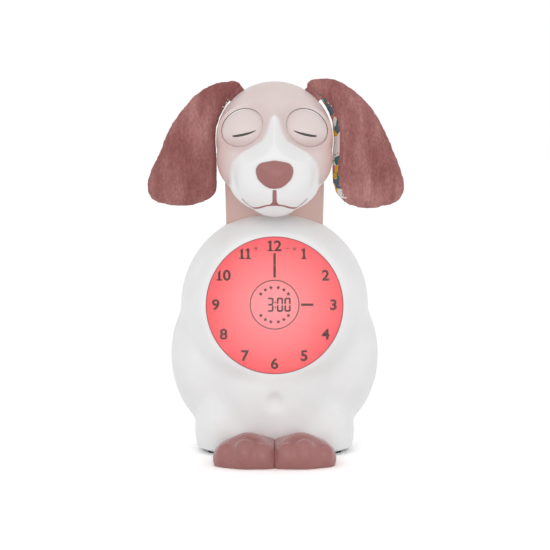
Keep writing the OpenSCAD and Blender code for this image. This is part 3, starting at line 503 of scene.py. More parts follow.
shell = {
    "bellyRadius": 54, "bellyHeight": 83,
    "dialDistance": 36, "dialLean": 5, "lensRadius": 38.2, "lensThickness": 1.8, "lensRoom": 0.3,
    "ledge": 1.7, "ledgeThickness": 1.5, "windowFrom": 10, "panelDistance": 47,
    "haunchRadii": (34, 29.5, 45.5), "haunchAt": (26, 3, 54),
    "torsoRadius": 37, "torsoSide": 7.5, "torsoFoot": -24,
    "rim": 3, "frontTop": 15, "rearTop": 46, "rearFrom": -10,
    "bibTop": (41, 34, 26), "bibTopAt": (0, -4, 52),
    "bibFoot": (30, 27, 14), "bibFootAt": (0, -13, 13),
    "ankleRadii": (17.2, 24, 24), "ankleAt": (28.6, -9, 12),
    "dimpleRadius": 8, "dimpleDepth": 2.4, "dimpleHeight": 32.3, "dimplePasses": 3,
    "wall": 2.2, "frontRoof": 4, "rearRoof": 2, "hollowFoot": -12, "hollowGrain": 2.2,
    "grain": 1.5, "passes": 16, "seam": 0.12,
    "neckHoleRadius": 28.2, "neckFlat": 0.4,
    "screwsAt": ((50, 60), (40, 109)), "bossRadius": 4.15,
    "recessRadius": 2.6, "recessFrom": 6, "shankRadius": 1.25, "shankFrom": -8,
    "keysAt": {"alarm": (14, 8), "light": (0, 12), "clock": (-14, 8), "minus": (-10, -6), "plus": (10, -6)},
    "keyHole": 4.5, "knobDrop": 17, "knobSlot": (9.6, 3.6), "keysFrom": 38,
    "socketHeight": 12, "socketHole": 4.1, "backFrom": 30,
    "speakerHeight": 31, "speakerRadius": 12.5, "grillePitch": 3.6, "grilleHole": 0.9, "grilleEdge": 2,
}


def dialTurn():
    # local +Z out of the dial, leaning back
    return Matrix.Rotation(math.radians(90 - shell["dialLean"]), 4, "X")


def dialPoint(out):
    # a point on the dial's axis, at a distance out of the belly's centre
    return place(0, 0, shell["bellyHeight"]) + dialTurn() @ Vector((0, 0, out * mm))


def dialFrame(out):
    # the matrix of the dial's own axes, x across and y up, with that point as its origin
    return Matrix.Translation(dialPoint(out)) @ dialTurn()


def addDialRod(name, radius, length, out):
    return addRod(name, radius, length, dialPoint(out), dialTurn().to_euler())


def neckRod(name, radius, low, high, topRadius=None):
    # an upright rod round the neck's axis, round behind and flatter in front
    rear = addRod(name, radius, high - low, place(0, 0, low), topRadius=topRadius)
    cut(rear, addBlock("neckFront", place(-60, -60, low - 5), place(60, 0, high + 5)))
    front = addRod(name, radius, high - low, place(0, 0, low), topRadius=topRadius,
        scale=(1, shell["neckFlat"], 1))
    return hullOf(name, [rear, front])


def torsoColumn(name, radius, low, high, nearest=-80):
    # the upright column with round ends that the shells stand on, from a given depth backwards
    side = shell["torsoSide"]
    parts = [addRod(name + "End", radius, high - low, place(x, 0, low)) for x in (-side, side)]
    parts.append(addBlock(name + "Middle", place(-side, -radius, low), place(side, radius, high)))
    column = hullOf(name, parts)
    return cut(column, addBlock("columnFront", place(-90, -90, low - 1), place(90, nearest, high + 1)))


def makeBodyForm():
    s = shell
    parts = [addFineBall("belly", s["bellyRadius"], place(0, 0, s["bellyHeight"]))]
    parts += addPair("haunch", s["haunchRadii"], s["haunchAt"])
    parts += addPair("ankle", s["ankleRadii"], s["ankleAt"])
    bib = [addBall("bib", s[end], place(*s[end + "At"])) for end in ("bibTop", "bibFoot")]
    parts.append(hullOf("bib", bib))
    parts.append(torsoColumn("torso", s["torsoRadius"], s["torsoFoot"], s["frontTop"]))
    parts.append(torsoColumn("back", s["torsoRadius"], s["torsoFoot"], s["rearTop"], s["rearFrom"]))
    form = oneSkin(joinAll("bodyForm", parts), s["grain"])
    cut(form, addDialRod("dialTool", 60, 60, s["dialDistance"]))
    cut(form, addDrill("panelTool", 60, 60, (0, s["panelDistance"], s["bellyHeight"]), 96))
    meltTogether(form, s["grain"], s["passes"])
    spot, outward = surfaceFrom(form, place(0, 0, s["dimpleHeight"]), place(0, -80, s["dimpleHeight"]))
    out = s["dimpleRadius"] - s["dimpleDepth"]
    cut(form, addBall("dimple", s["dimpleRadius"], spot + outward * out * mm))
    return meltTogether(form, s["grain"], s["dimplePasses"])


def bodyHollow():
    s = shell
    radius = s["torsoRadius"] - s["wall"]
    parts = [addBall("innerBelly", s["bellyRadius"] - s["wall"], place(0, 0, s["bellyHeight"]))]
    parts += addPair("innerHaunch", [r - s["wall"] for r in s["haunchRadii"]], s["haunchAt"])
    parts.append(torsoColumn("innerTorso", radius, s["hollowFoot"], s["frontTop"] - s["frontRoof"]))
    parts.append(torsoColumn("innerBack", radius, s["hollowFoot"], s["rearTop"] - s["rearRoof"],
        s["rearFrom"] + s["rearRoof"]))
    hollow = oneSkin(joinAll("hollow", parts), s["hollowGrain"])
    behindLedge = s["dialDistance"] - s["lensThickness"] - s["ledgeThickness"]
    cut(hollow, addDialRod("dialInside", 60, 60, behindLedge))
    cut(hollow, addDrill("panelInside", 60, 60, (0, s["panelDistance"] - s["wall"], s["bellyHeight"]), 96))
    for x, z in s["screwsAt"]:
        for side in (-1, 1):
            cut(hollow, addDrill("boss", s["bossRadius"], 120, (side * x, -60, z)))
    return hollow


def screwTools(x, z, recessFrom):
    # the recess for a screw's head and the hole for its shank, drilled from the back
    s = shell
    return [addDrill("recess", s["recessRadius"], 70, (x, recessFrom, z)),
            addDrill("shank", s["shankRadius"], 20, (x, s["shankFrom"], z), 24)]


def rearTools():
    # everything that is drilled or cut through the rear shell
    s = shell
    tools = []
    for x, z in s["screwsAt"]:
        for side in (-1, 1):
            tools += screwTools(side * x, z, s["recessFrom"])
    for x, z in s["keysAt"].values():
        tools.append(addDrill("keyHole", s["keyHole"], 20, (x, s["keysFrom"], s["bellyHeight"] + z), 48))
    width, height = s["knobSlot"]
    middle = s["bellyHeight"] - s["knobDrop"]
    tools.append(addBlock("knobSlot", place(-width / 2, s["keysFrom"], middle - height / 2),
        place(width / 2, s["keysFrom"] + 20, middle + height / 2)))
    tools.append(addDrill("socketHole", s["socketHole"], 14, (0, s["backFrom"], s["socketHeight"]), 48))
    for i in range(-3, 4):
        for j in range(-3, 4):
            x = (i + (j % 2) / 2) * s["grillePitch"]
            z = j * s["grillePitch"] * math.sin(math.pi / 3)
            if math.hypot(x, z) < s["speakerRadius"] - s["grilleEdge"]:
                spot = (x, s["backFrom"], s["speakerHeight"] + z)
                tools.append(addDrill("grilleHole", s["grilleHole"], 14, spot, 16))
    return tools


def makeShells(material):
    print("body shells")
    s = shell
    front = makeBodyForm()
    outside = copyOf(front, "outside")
    rear = copyOf(front, "rearShell")
    front.name = "frontShell"
    cut(front, addBlock("behind", place(-90, -s["seam"], -20), place(90, 90, 190)))
    cut(rear, addBlock("before", place(-90, -90, -20), place(90, s["seam"], 190)))
    hollow = bodyHollow()
    for piece in (front, rear):
        cut(piece, addBlock("groundTool", place(-80, -80, -30), place(80, 80, s["rim"])))
        cut(piece, hollow, keepTool=True)
        cut(piece, neckRod("neckTool", s["neckHoleRadius"], s["bellyHeight"], 170))
    bpy.data.objects.remove(hollow)
    cut(front, addDialRod("lensTool", s["lensRadius"] + s["lensRoom"], 30,
        s["dialDistance"] - s["lensThickness"]))
    cut(front, addDialRod("windowTool", s["lensRadius"] - s["ledge"], 60, s["windowFrom"]))
    for tool in rearTools():
        cut(rear, tool)
    for piece, node in ((front, "front_shell"), (rear, "rear_shell")):
        smoothShade(piece)
        print(" ", piece.name, len(piece.data.vertices), "vertices")
        finishPiece(piece, material, rootBody, "shell_white", node)
    return outside


head = {
    "skullRadius": 33.5, "skullAt": (0, 0, 177.5),
    "muzzleRadius": 22.5, "muzzleRoot": 33.2, "muzzleAt": (0, -34, 159.5),
    "cheekRadii": (19.9, 18, 21), "cheekAt": (13, -20, 168),
    "jawRadii": (26, 18, 20), "jawAt": (0, -28, 157),
    "chinRadii": (15, 13, 11), "chinAt": (0, -35.5, 146.5),
    "eyeRadius": 15.5, "eyeGap": 0.35, "eyeRim": 2.4, "eyeAt": (15.1, -17, 180.2),
    "look": (0.3, -0.82, 0.48), "lookAngle": 52, "dishAngle": 58, "dishDepth": 24, "dishWall": 3.4,
    "neckRadius": 29, "neckTop": 163.5, "neckFoot": 27.6, "neckWidest": 28.6, "neckSeam": 0.4,
    "spigotHole": 24.2, "spigotTop": 177,
    "wall": 2.2, "grain": 0.9, "faceGrain": 1.1, "hollowGrain": 1.4, "passes": 6, "seam": 0.12,
    "earLean": 40, "earSlot": (13, 7.4), "earSlotFrom": 26, "earSlotTo": 48,
    "screwsAt": ((0, 25.5), (27, -11.5), (-27, -11.5)), "bossRadius": 4, "recessFrom": 4,
    # heights, and half the width of the white blaze at each
    "blaze": ((134, 32), (148, 30), (154, 24.6), (160.5, 24.3), (166.2, 22.9), (171.2, 18.5), (174.7, 12.1),
              (177.9, 6.9), (182, 4.5), (187.7, 2.9), (190.8, 1.9), (192.4, -0.6), (196, -4)),
    "blazeEdge": 1.6, "blazeBack": (-13, -18),
}


def addSkull(name, extra):
    return addFineBall(name, head["skullRadius"] + extra, place(*head["skullAt"]))


def faceForm(name, inset):
    # the round muzzle and its taper towards the skull, clear of the neck under it
    h = head
    root = addBall(name + "Root", h["muzzleRoot"] - inset, place(*h["skullAt"]))
    tip = addBall(name + "Tip", h["muzzleRadius"] - inset, place(*h["muzzleAt"]))
    parts = [hullOf(name, [root, tip])]
    parts += addPair("cheek", [r - inset for r in h["cheekRadii"]], h["cheekAt"])
    for feature in ("chin", "jaw"):
        radii = [r - inset for r in h[feature + "Radii"]]
        parts.append(addBall(feature, radii, place(*h[feature + "At"])))
    face = oneSkin(joinAll(name, parts), h["faceGrain"])
    return cut(face, neckRod("neckRoom", h["neckRadius"] + inset, shell["bellyHeight"], h["neckTop"]))


def eyeCentre(side):
    x, y, z = head["eyeAt"]
    return place(side * x, y, z)


def lookTurn(side):
    # turns local +Z into the way an eye looks
    x, y, z = head["look"]
    return Vector((side * x, y, z)).to_track_quat("Z", "Y").to_matrix().to_4x4()


def dishTool(side, back=0):
    # a dish round an eye, so that the face comes level with the eyeball's edge
    h = head
    angle = math.radians(h["lookAngle"])
    brim = h["eyeRadius"] + h["eyeGap"]
    start = brim * math.sin(angle)
    spread = start + h["dishDepth"] * math.tan(math.radians(h["dishAngle"]))
    foot = (0, 0, (brim * math.cos(angle) - back) * mm)
    dish = addRod("dish", start, h["dishDepth"], foot, topRadius=spread)
    return moved(dish, Matrix.Translation(eyeCentre(side)) @ lookTurn(side))


def makeHeadForm():
    h = head
    rim = h["eyeRadius"] + h["eyeRim"]
    parts = [addSkull("skull", 0)]
    parts += [addBall("rim", rim, eyeCentre(side), segments=64, rings=48) for side in (-1, 1)]
    parts.append(faceForm("face", 0))
    form = oneSkin(joinAll("headForm", parts), h["grain"])
    soften(form, h["passes"] * 2)
    for side in (-1, 1):
        cut(form, dishTool(side))
    return meltTogether(form, h["grain"], h["passes"])


def headHollow():
    h = head
    skull = addBall("innerSkull", h["skullRadius"] - h["wall"], place(*h["skullAt"]), segments=64, rings=48)
    hollow = oneSkin(joinAll("headHollow", [skull, faceForm("innerFace", h["wall"])]), h["hollowGrain"])
    for side in (-1, 1):
        cut(hollow, dishTool(side, h["dishWall"]))
    for x, z in h["screwsAt"]:
        start = -14 if z < 0 else -12
        cut(hollow, addDrill("boss", h["bossRadius"], 60, (x, start, h["skullAt"][2] + z)))
    return hollow


def earFrame(side):
    # an ear's own axes, its origin in the skull's centre and +Z out through the ear's slot
    return (Matrix.Translation(place(*head["skullAt"]))
        @ Matrix.Rotation(side * math.radians(head["earLean"]), 4, "Y"))


def addEarBlock(name, side, width, thickness, low, high):
    # a block on an ear's own axes, from one distance out of the skull's centre to another
    block = addBlock(name, Vector((-width / 2, -thickness / 2, low)) * mm,
        Vector((width / 2, thickness / 2, high)) * mm)
    return moved(block, earFrame(side))


def headPaint():
    # blush plastic with a white blaze and muzzle sprayed on, soft at its edge, and painted shade with rose
    # reflected from the ears towards the sides and lower down
    h = head
    material, tree, shader = newMaterial("headPaint", tone(226, 209, 206), 0.4, {"Specular IOR Level": 0.4})
    across = mathOf(tree, "ABSOLUTE", axisOf(tree, 0))
    depth = axisOf(tree, 1, seamY / mm)
    height = axisOf(tree, 2)
    low, high = h["blaze"][0][0], h["blaze"][-1][0]
    least = -h["blaze"][-1][1]
    widest = h["blaze"][0][1] + least
    stops = [((z - low) / (high - low), ((w + least) / widest,) * 3) for z, w in h["blaze"]]
    profile = rampOf(tree, rangeOf(tree, height, low, high, 0, 1), stops)
    halfWidth = mathOf(tree, "SUBTRACT", mathOf(tree, "MULTIPLY", profile, widest), least)
    inside = mathOf(tree, "SUBTRACT", halfWidth, across)
    white = rangeOf(tree, inside, -h["blazeEdge"], h["blazeEdge"], 0, 1, smooth=True)
    front = rangeOf(tree, depth, h["blazeBack"][1], h["blazeBack"][0], 1, 0, smooth=True)
    mask = mathOf(tree, "MULTIPLY", white, front)
    blush = toneRamp(tree, noiseOn(tree, 60, 4), ((0.3, (221, 203, 200)), (0.7, (227, 210, 207))))
    # painted shade and painted rose reflection from the ears: the head turns darker and rosier towards its
    # sides and lower down
    paintedSideShade = mathOf(tree, "MULTIPLY", rangeOf(tree, across, 21, 34, 0, 0.75, smooth=True),
        rangeOf(tree, height, 205, 180, 0, 1, smooth=True))
    blush = mixOf(tree, paintedSideShade, blush, tone(203, 163, 156))
    tree.links.new(mixOf(tree, mask, blush, tone(242, 242, 242)), shader.inputs["Base Color"])
    gloss = rangeOf(tree, noiseOn(tree, 240, 3), 0.3, 0.7, 0.36, 0.46)
    tree.links.new(gloss, shader.inputs["Roughness"])
    bumpOn(tree, shader, noiseOn(tree, 2400, 2, 0.6), 0.02)
    return material


def makeHead(material):
    print("head")
    h = head
    low = shell["bellyHeight"]
    front = makeHeadForm()
    outside = copyOf(front, "headOutside")
    cut(front, headHollow())
    neckTool = neckRod("neckTool", h["neckWidest"] + 0.25, low, h["neckTop"] - 0.5)
    cut(front, cut(neckTool, addSkull("skullRoom", 0.05)))
    cut(front, neckRod("spigotTool", h["spigotHole"], low, h["spigotTop"]))
    for side in (-1, 1):
        cut(front, addFineBall("eyeRoom", h["eyeRadius"] + h["eyeGap"], eyeCentre(side)))
        cut(front, addEarBlock("earSlot", side, *h["earSlot"], h["earSlotFrom"], h["earSlotTo"]))
    rear = copyOf(front, "headRear")
    cut(front, addBlock("rearTool", place(-90, -h["seam"], 80), place(90, 90, 240)))
    cut(rear, addBlock("frontTool", place(-90, -90, 80), place(90, h["seam"], 240)))
    for x, z in h["screwsAt"]:
        for tool in screwTools(x, h["skullAt"][2] + z, h["recessFrom"]):
            cut(rear, tool)
    front.name = "headFront"
    for piece, node in ((front, "head_front"), (rear, "head_rear")):
        smoothShade(piece, 40)
        finishPiece(piece, material, rootBody, "blush_plastic", node)
    return outside


def makeNeck(material):
    h = head
    low, high = (corner.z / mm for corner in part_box("neck"))
    high = min(high, h["neckTop"]) - h["neckSeam"]
    neck = neckRod("neckTube", h["neckFoot"], low, high, h["neckWidest"])
    cut(neck, neckRod("neckBore", h["neckFoot"] - h["wall"], low - 5, high + 5))
    cut(neck, addSkull("skullRoom", 0.1))
    finishPiece(smoothShade(neck), material, rootBody, "neck_plastic", "neck")


mouth = {
    "proud": 0.22, "front": -75,
    # x, z and half the width of the drawn line
    "line": ((0, 142.9, 0.7), (2.75, 142.7, 0.66), (5.1, 142.3, 0.62), (7.7, 141.4, 0.66), (9.8, 140.9, 0.74),
             (11.3, 140.8, 0.72), (12.9, 141.3, 0.64), (14.7, 142.5, 0.55), (16.6, 144.2, 0.46),
             (18.3, 145.9, 0.3)),
    "bar": ((0, 142.6, 1.12), (0, 144.5, 1.14), (0, 147, 1.16), (0, 149.5, 1.16), (0, 151.7, 1.12)),
    "fillet": ((3.2, 142.75, 0.4), (1.9, 143.2, 0.5), (1.1, 144.1, 0.5), (0.7, 145.6, 0.4)),
}


def drawnLine(name, form, points, side=1):
    # a tube sunk in the face, of which a low rounded ridge of the wanted width stands out
    proud = mouth["proud"]
    places, radii = [], []
    for x, z, half in finePath(points, 4):
        radius = ridgeRadius(half, proud)
        spot, normal = surfaceFrom(form, place(side * x, 0, z), place(side * x, mouth["front"], z))
        places.append(spot + normal * (proud - radius) * mm)
        radii.append(radius * mm)
    return taperedTube(name, places, radii)


def makeMouth(form, material):
    print("mouth and nose")
    half = mouth["line"]
    strokes = [drawnLine("mouthLine", form, [(-x, *rest) for x, *rest in half[:0:-1]] + list(half)),
               drawnLine("lipBar", form, mouth["bar"])]
    strokes += [drawnLine("fillet", form, mouth["fillet"], side) for side in (-1, 1)]
    finishPiece(joinAll("mouthLine", strokes), material, rootBody, "rose_plastic")


nose = {
    "front": -56.5, "seatRadius": 22.3, "grain": 0.5, "passes": 5,
    # radii, then x, the way behind the front and the way above the muzzle's middle
    "sides": (((5, 3.2, 4.9), (5.4, 1.7, 2.3)), ((4.9, 3.2, 4.8), (5, 1.7, 0.3))),
    "middle": (((8.5, 3.4, 6.9), (0, 1.2, -0.6)), ((7, 3.2, 4.9), (0, 1, 3.2)),
               ((8.2, 3.8, 5.6), (0, 0.7, 1))),
}


def makeNose(material):
    n = nose
    height = head["muzzleAt"][2]
    parts = []
    for radii, (x, back, up) in n["sides"]:
        parts += addPair("nostril", radii, (x, n["front"] + back, height + up))
    for radii, (x, back, up) in n["middle"]:
        parts.append(addBall("bridge", radii, place(x, n["front"] + back, height + up)))
    tip = meltTogether(hullOf("noseTip", parts), n["grain"], n["passes"])
    cut(tip, addFineBall("noseSeat", n["seatRadius"], place(*head["muzzleAt"])))
    finishPiece(smoothShade(tip, 60), material, rootBody, "rose_plastic", "nose")


eye = {
    "bore": 1.55, "flat": 5.5, "turn": 100,
    "openLook": (0.12, -0.965, 0.2), "irisAngle": 23, "pupilAngle": 11, "whiteAngle": 56,
    "lidShadeFrom": 172, "lidShadeTo": 184, "whiteFrom": 187, "blur": 0.1,
    # x from the eye's centre towards the nose, height, and half the width of the lash line
    "lash": ((-8.4, 180.4, 0.42), (-6.6, 180.4, 0.6), (-3.4, 180.9, 0.68), (0.2, 181.8, 0.62),
             (2.6, 182.6, 0.42), (4.6, 183.5, 0.15)),
    "lashProud": 0.2,
}


def eyePaint(name, side):
    # closed lids in front; white, iris and pupil on the part that turns into view
    turnBack = Matrix.Rotation(-math.radians(eye["turn"]), 3, "X")
    material, tree, shader = newMaterial(name, tone(229, 215, 212), 0.38, {"Specular IOR Level": 0.4})

    def awayFrom(look):
        # straight distance from the point of the ball that shows this way when it is open
        way = turnBack @ Vector((side * look[0], *look[1:])).normalized()
        return distanceTo(tree, eyeCentre(side) + way * head["eyeRadius"] * mm)

    def chord(angle):
        return 2 * head["eyeRadius"] * math.sin(math.radians(angle) / 2)

    def within(distance, angle, blur=eye["blur"]):
        return rangeOf(tree, distance, chord(angle) - blur, chord(angle) + blur, 1, 0)

    height = axisOf(tree, 2)
    # painted shade on the closed lids: darker at the bottom, lighter at the top
    shadedLid = toneRamp(tree, rangeOf(tree, height, eye["lidShadeFrom"], eye["lidShadeTo"], 0, 1, smooth=True),
        ((0, (209, 184, 183)), (1, (226, 212, 209))))
    toIris = awayFrom(eye["openLook"])
    iris = toneRamp(tree, rangeOf(tree, toIris, chord(eye["pupilAngle"]), chord(eye["irisAngle"]), 0, 1),
        ((0, (120, 78, 48)), (0.75, (92, 56, 34)), (1, (50, 32, 24))))
    ball = mixOf(tree, within(toIris, eye["irisAngle"]), tone(244, 243, 240), iris)
    ball = mixOf(tree, within(toIris, eye["pupilAngle"]), ball, tone(18, 16, 16))
    openShare = mathOf(tree, "MULTIPLY", within(awayFrom(head["look"]), eye["whiteAngle"], 0.12),
        rangeOf(tree, height, eye["whiteFrom"], eye["whiteFrom"] + 0.4, 0, 1))
    tree.links.new(mixOf(tree, openShare, shadedLid, ball), shader.inputs["Base Color"])
    bumpOn(tree, shader, noiseOn(tree, 2400, 2, 0.6), 0.02)
    return material


def makeLash(name, side, material):
    # a printed line on the lid, just proud of the eyeball
    radius, proud = head["eyeRadius"], eye["lashProud"]
    points, radii = [], []
    for x, z, half in finePath(eye["lash"], 4):
        across = -side * x
        up = z - head["eyeAt"][2]
        depth = math.sqrt(radius ** 2 - across ** 2 - up ** 2)
        way = Vector((across, -depth, up)).normalized()
        lashRadius = ridgeRadius(half, proud)
        points.append(eyeCentre(side) + way * (radius + proud - lashRadius) * mm)
        radii.append(lashRadius * mm)
    finishPiece(taperedTube(name, points, radii), material, "eyes", "black_plastic")


def makeEyes(material):
    print("eyes")
    sideways = (0, math.pi / 2, 0)
    for name, side in (("left", 1), ("right", -1)):
        centre = eyeCentre(side)
        ball = addBall(name + "EyeBall", head["eyeRadius"], centre, sideways, segments=128, rings=80)
        low, high = sorted((-20 * side, eye["flat"] * side))
        cut(ball, addBlock("eyeFlat", place(low, -60, 150), place(high, 30, 220)))
        cut(ball, addRod("bore", eye["bore"], 60, centre - Vector((30 * mm, 0, 0)), sideways, vertices=48))
        smoothShade(ball, 40)
        finishPiece(ball, eyePaint(name + "EyePaint", side), "eyes", "blush_plastic", name + "_eye")
        makeLash(name + "Lash", side, material)


paw = {
    "gap": 0.03, "overlap": 0.7, "grain": 0.9, "passes": 6, "lift": 0.1, "insideFrom": -30,
    "balls": (((7.6, 7.6, 7.2), (3.5, -37, 4.5)), ((7.6, 7.6, 7.2), (24, -37, 4)),
              ((9.6, 9, 9.4), (24.6, -59.5, 4)), ((9, 9.2, 10.6), (16.5, -64.6, 4.6)),
              ((8.2, 8, 10), (5.6, -65, 3.8)), ((10.4, 13, 8.4), (14.5, -57, 9.4))),
    "toes": (((6.6, 6, 7.6), (7, -68.4, 6.4)), ((6.2, 6.4, 8.2), (16.4, -69, 8)),
             ((6.2, 6, 7.2), (26.4, -63.4, 6))),
}


def makePaws(material, bodyForm):
    print("paws")
    p = paw
    foot = hullOf("leftPaw", [addBall("ball", radii, place(*at)) for radii, at in p["balls"]])
    left = joinAll("leftPaw", [foot] + [addBall("toe", radii, place(*at)) for radii, at in p["toes"]])
    oneSkin(left, p["grain"])
    cut(left, addBlock("middle", place(-20, -100, -20), place(-p["overlap"], 10, 60)))
    meltTogether(left, p["grain"], p["passes"])
    cut(left, addBlock("ground", place(-20, -100, -20), place(60, 10, p["lift"])))
    cut(left, addBlock("middle", place(-20, -100, -20), place(p["gap"] / 2, 10, 60)))
    cut(left, bodyForm, keepTool=True)
    cut(left, addBlock("insideBody", place(-40, p["insideFrom"], -20), place(60, 10, 60)))
    smoothShade(left, 50)
    right = mirrored(left, "rightPaw")
    finishPiece(left, material, rootBody, "rose_plastic", "left_paw")
    finishPiece(right, material, rootBody, "rose_plastic", "right_paw")


dial = {
    "displayFront": 32.6, "displayThickness": 2.2, "displayRadius": 37.9, "print": 0.06, "rise": 0.3,
    # how far in from the lens's edge, width, how far above its seat, and thickness
    "tape": (0.85, 2, 0.02, 0.1), "lensEdgeShadow": (-0.06, 0.3, 0.2, 1.4),
    "lensIn": 0.12, "lensLift": 0.15, "lensBevel": 0.3,
    "numeralRing": 32.8, "numeralSize": 8.1, "numeralStretch": 1.08, "numeralBold": 0.2, "numeralGap": 0.4,
    # the foot and the flag that the 1 gets, the flag as points from the top of its stem
    "stemIn": 0.55, "oneFoot": (3.1, 0.72), "oneFlag": ((-1.6, -1.45), (-0.2, -1), (0, 0), (-1.6, -0.75)),
    "circle": 13.6, "circleLine": 0.5,
    "starRing": 9.75, "starSize": 1.2, "starTurns": (38, 58, 78, 102, 122, 142),
    "minuteBar": (15.2, 28.7, 1.4), "hourBar": (14.7, 21.6, 1.3), "barBreak": 22.3, "barGap": 0.3,
    "digitHeight": 7.9, "digitWidth": 3.5, "segment": 0.95, "digitsAt": (-2.35, 3.0, 7.2),
    "colonAt": 0.4, "colonRise": 1.3, "colonSize": 0.45,
    "suns": ((-10.4, 31.6), (11.1, 31.4)), "sunSize": 0.75, "rayRing": 1.35, "raySize": 0.2,
    "dash": (7.1, 31.5, 2.3, 0.45),
    "glow": ((0, (250, 148, 153)), (0.34, (250, 140, 144)), (0.37, (250, 130, 133)), (0.62, (250, 118, 122)),
             (0.82, (250, 103, 107)), (1, (246, 90, 97))),
    "glowReach": 39, "glowStrength": 0.87,
}


def plateOn(name, points, out, thickness=dial["print"]):
    return addOutline(name, points, thickness, dialFrame(out))


def ringOn(name, radius, line, out, thickness=dial["print"], count=96):
    # a flat ring: a disc with a smaller one cut from it
    disc = plateOn(name, ringPoints(radius + line / 2, count), out, thickness)
    hole = plateOn("ringHole", ringPoints(radius - line / 2, count), out - thickness, thickness * 3)
    return cut(disc, hole)


def starPoints(radius, at):
    # five points, with corners half as far out between them
    outer, inner = (ringPoints(r, 10, math.pi / 2, at) for r in (radius, radius / 2))
    return [inner[i] if i % 2 else outer[i] for i in range(10)]


def segmentBar(cx, cy, length, thick, upright):
    # one lit segment with pointed ends
    half, t = length / 2, thick / 2
    points = [(-half, 0), (-half + t, -t), (half - t, -t), (half, 0), (half - t, t), (-half + t, t)]
    return [(cx - y, cy + x) if upright else (cx + x, cy + y) for x, y in points]


def digitBars(cx, segments):
    d = dial
    h, w, t = d["digitHeight"], d["digitWidth"], d["segment"]
    flat, tall = w - t * 0.7, h / 2 - t * 0.4
    right, top = w / 2 - t / 2, h / 2 - t / 2
    spots = {
        "a": (0, top, flat, False), "g": (0, 0, flat, False), "d": (0, -top, flat, False),
        "b": (right, h / 4, tall, True), "c": (right, -h / 4, tall, True),
        "f": (-right, h / 4, tall, True), "e": (-right, -h / 4, tall, True),
    }
    bars = []
    for x, y, length, upright in (spots[key] for key in segments):
        bars.append(segmentBar(cx + x, y, length, t, upright))
    return bars


def spanOf(piece, axis=0):
    values = [v.co[axis] for v in piece.data.vertices]
    return min(values), max(values)


def digitPiece(digit):
    # a bold digit cut out flat; the 1 gets a flag and stands on a foot
    d = dial
    deselectAll()
    bpy.ops.object.text_add()
    text = named("digit" + digit).data
    text.body = digit
    text.size = d["numeralSize"] * mm
    text.extrude = d["print"] / 2 * mm
    text.offset = d["numeralBold"] * mm
    text.resolution_u = 6
    bpy.ops.object.convert(target="MESH")
    piece = named("digit" + digit)
    piece.scale.x = d["numeralStretch"]
    settle(piece)
    if digit == "1":
        low, high = (value / mm for value in spanOf(piece, 1))
        stem = spanOf(piece)[1] / mm - d["stemIn"]
        width, height = d["oneFoot"]
        foot = addOutline("foot", bar(stem, low + height / 2, width, height), d["print"])
        flag = addOutline("flag", [(stem + x, high + y) for x, y in d["oneFlag"]], d["print"])
        extras = joinAll("extras", [foot, flag])
        extras.location.z = -d["print"] / 2 * mm
        piece = joinAll("digit1", [piece, settle(extras)])
    return piece


def numeralOn(text, angle):
    # digits side by side, centred on their hour
    d = dial
    edge = 0
    digits = []
    for digit in text:
        piece = digitPiece(digit)
        left, right = spanOf(piece)
        piece.location.x = edge - left
        edge += right - left + d["numeralGap"] * mm
        digits.append(settle(piece))
    piece = joinAll("numeral" + text, digits)
    turn = math.radians(angle)
    ring = d["numeralRing"] * mm
    shift = Vector((ring * math.sin(turn) - sum(spanOf(piece)) / 2,
        ring * math.cos(turn) - sum(spanOf(piece, 1)) / 2, d["print"] / 2 * mm))
    return moved(piece, dialFrame(d["displayFront"]) @ Matrix.Translation(shift))


def glowPaint():
    # the lit display: pale in the middle, stronger coral towards its edge
    d = dial
    material, tree, shader = newMaterial("dialGlow", tone(150, 60, 66), 0.5,
        {"Emission Strength": d["glowStrength"]})
    away = distanceTo(tree, dialPoint(d["displayFront"]))
    unevenness = mathOf(tree, "MULTIPLY", mathOf(tree, "SUBTRACT", noiseOn(tree, 22, 2), 0.5), 3)
    soft = mathOf(tree, "ADD", away, unevenness)
    colour = toneRamp(tree, rangeOf(tree, soft, 0, d["glowReach"], 0, 1), d["glow"])
    tree.links.new(colour, shader.inputs["Emission Color"])
    tree.links.new(mixOf(tree, 0.85, colour, (0, 0, 0)), shader.inputs["Base Color"])
    return material


def clearLens():
    material, tree, shader = newMaterial("clearLens", (1, 1, 1), 0.02, {"Transmission Weight": 1, "IOR": 1.2})
    tree.links.new(rangeOf(tree, noiseOn(tree, 60, 2), 0.3, 0.7, 0.01, 0.03), shader.inputs["Roughness"])
    return material


def makeDisplay(edgeShadowMaterial):
    # the lit display, the lens on its ledge, the tape under the lens and a dark ring at the lens's edge,
    # painted shadow of the recess
    d = dial
    glow = glowPaint()
    display = plateOn("displayGlass", ringPoints(d["displayRadius"], 128),
        d["displayFront"] - d["displayThickness"], d["displayThickness"])
    finishPiece(display, glow, rootBody, "display_glass", "display_glass")
    seat = shell["dialDistance"] - shell["lensThickness"]
    radius = shell["lensRadius"]
    for name, settings, material, slot in (("lensTape", d["tape"], glow, "display_glass"),
                                           ("lensEdgeShadow", d["lensEdgeShadow"], edgeShadowMaterial, "dial_lens")):
        inset, width, lift, thickness = settings
        ring = ringOn(name, radius - inset, width, seat + lift, thickness, 128)
        finishPiece(ring, material, rootBody, slot)
    lens = plateOn("dialLens", ringPoints(radius - d["lensIn"], 128), seat + d["lensLift"],
        shell["lensThickness"] - d["lensLift"])
    applyModifier(lens, "BEVEL", width=d["lensBevel"] * mm, segments=2, limit_method="ANGLE")
    finishPiece(smoothShade(lens), clearLens(), rootBody, "dial_lens", "dial_lens")


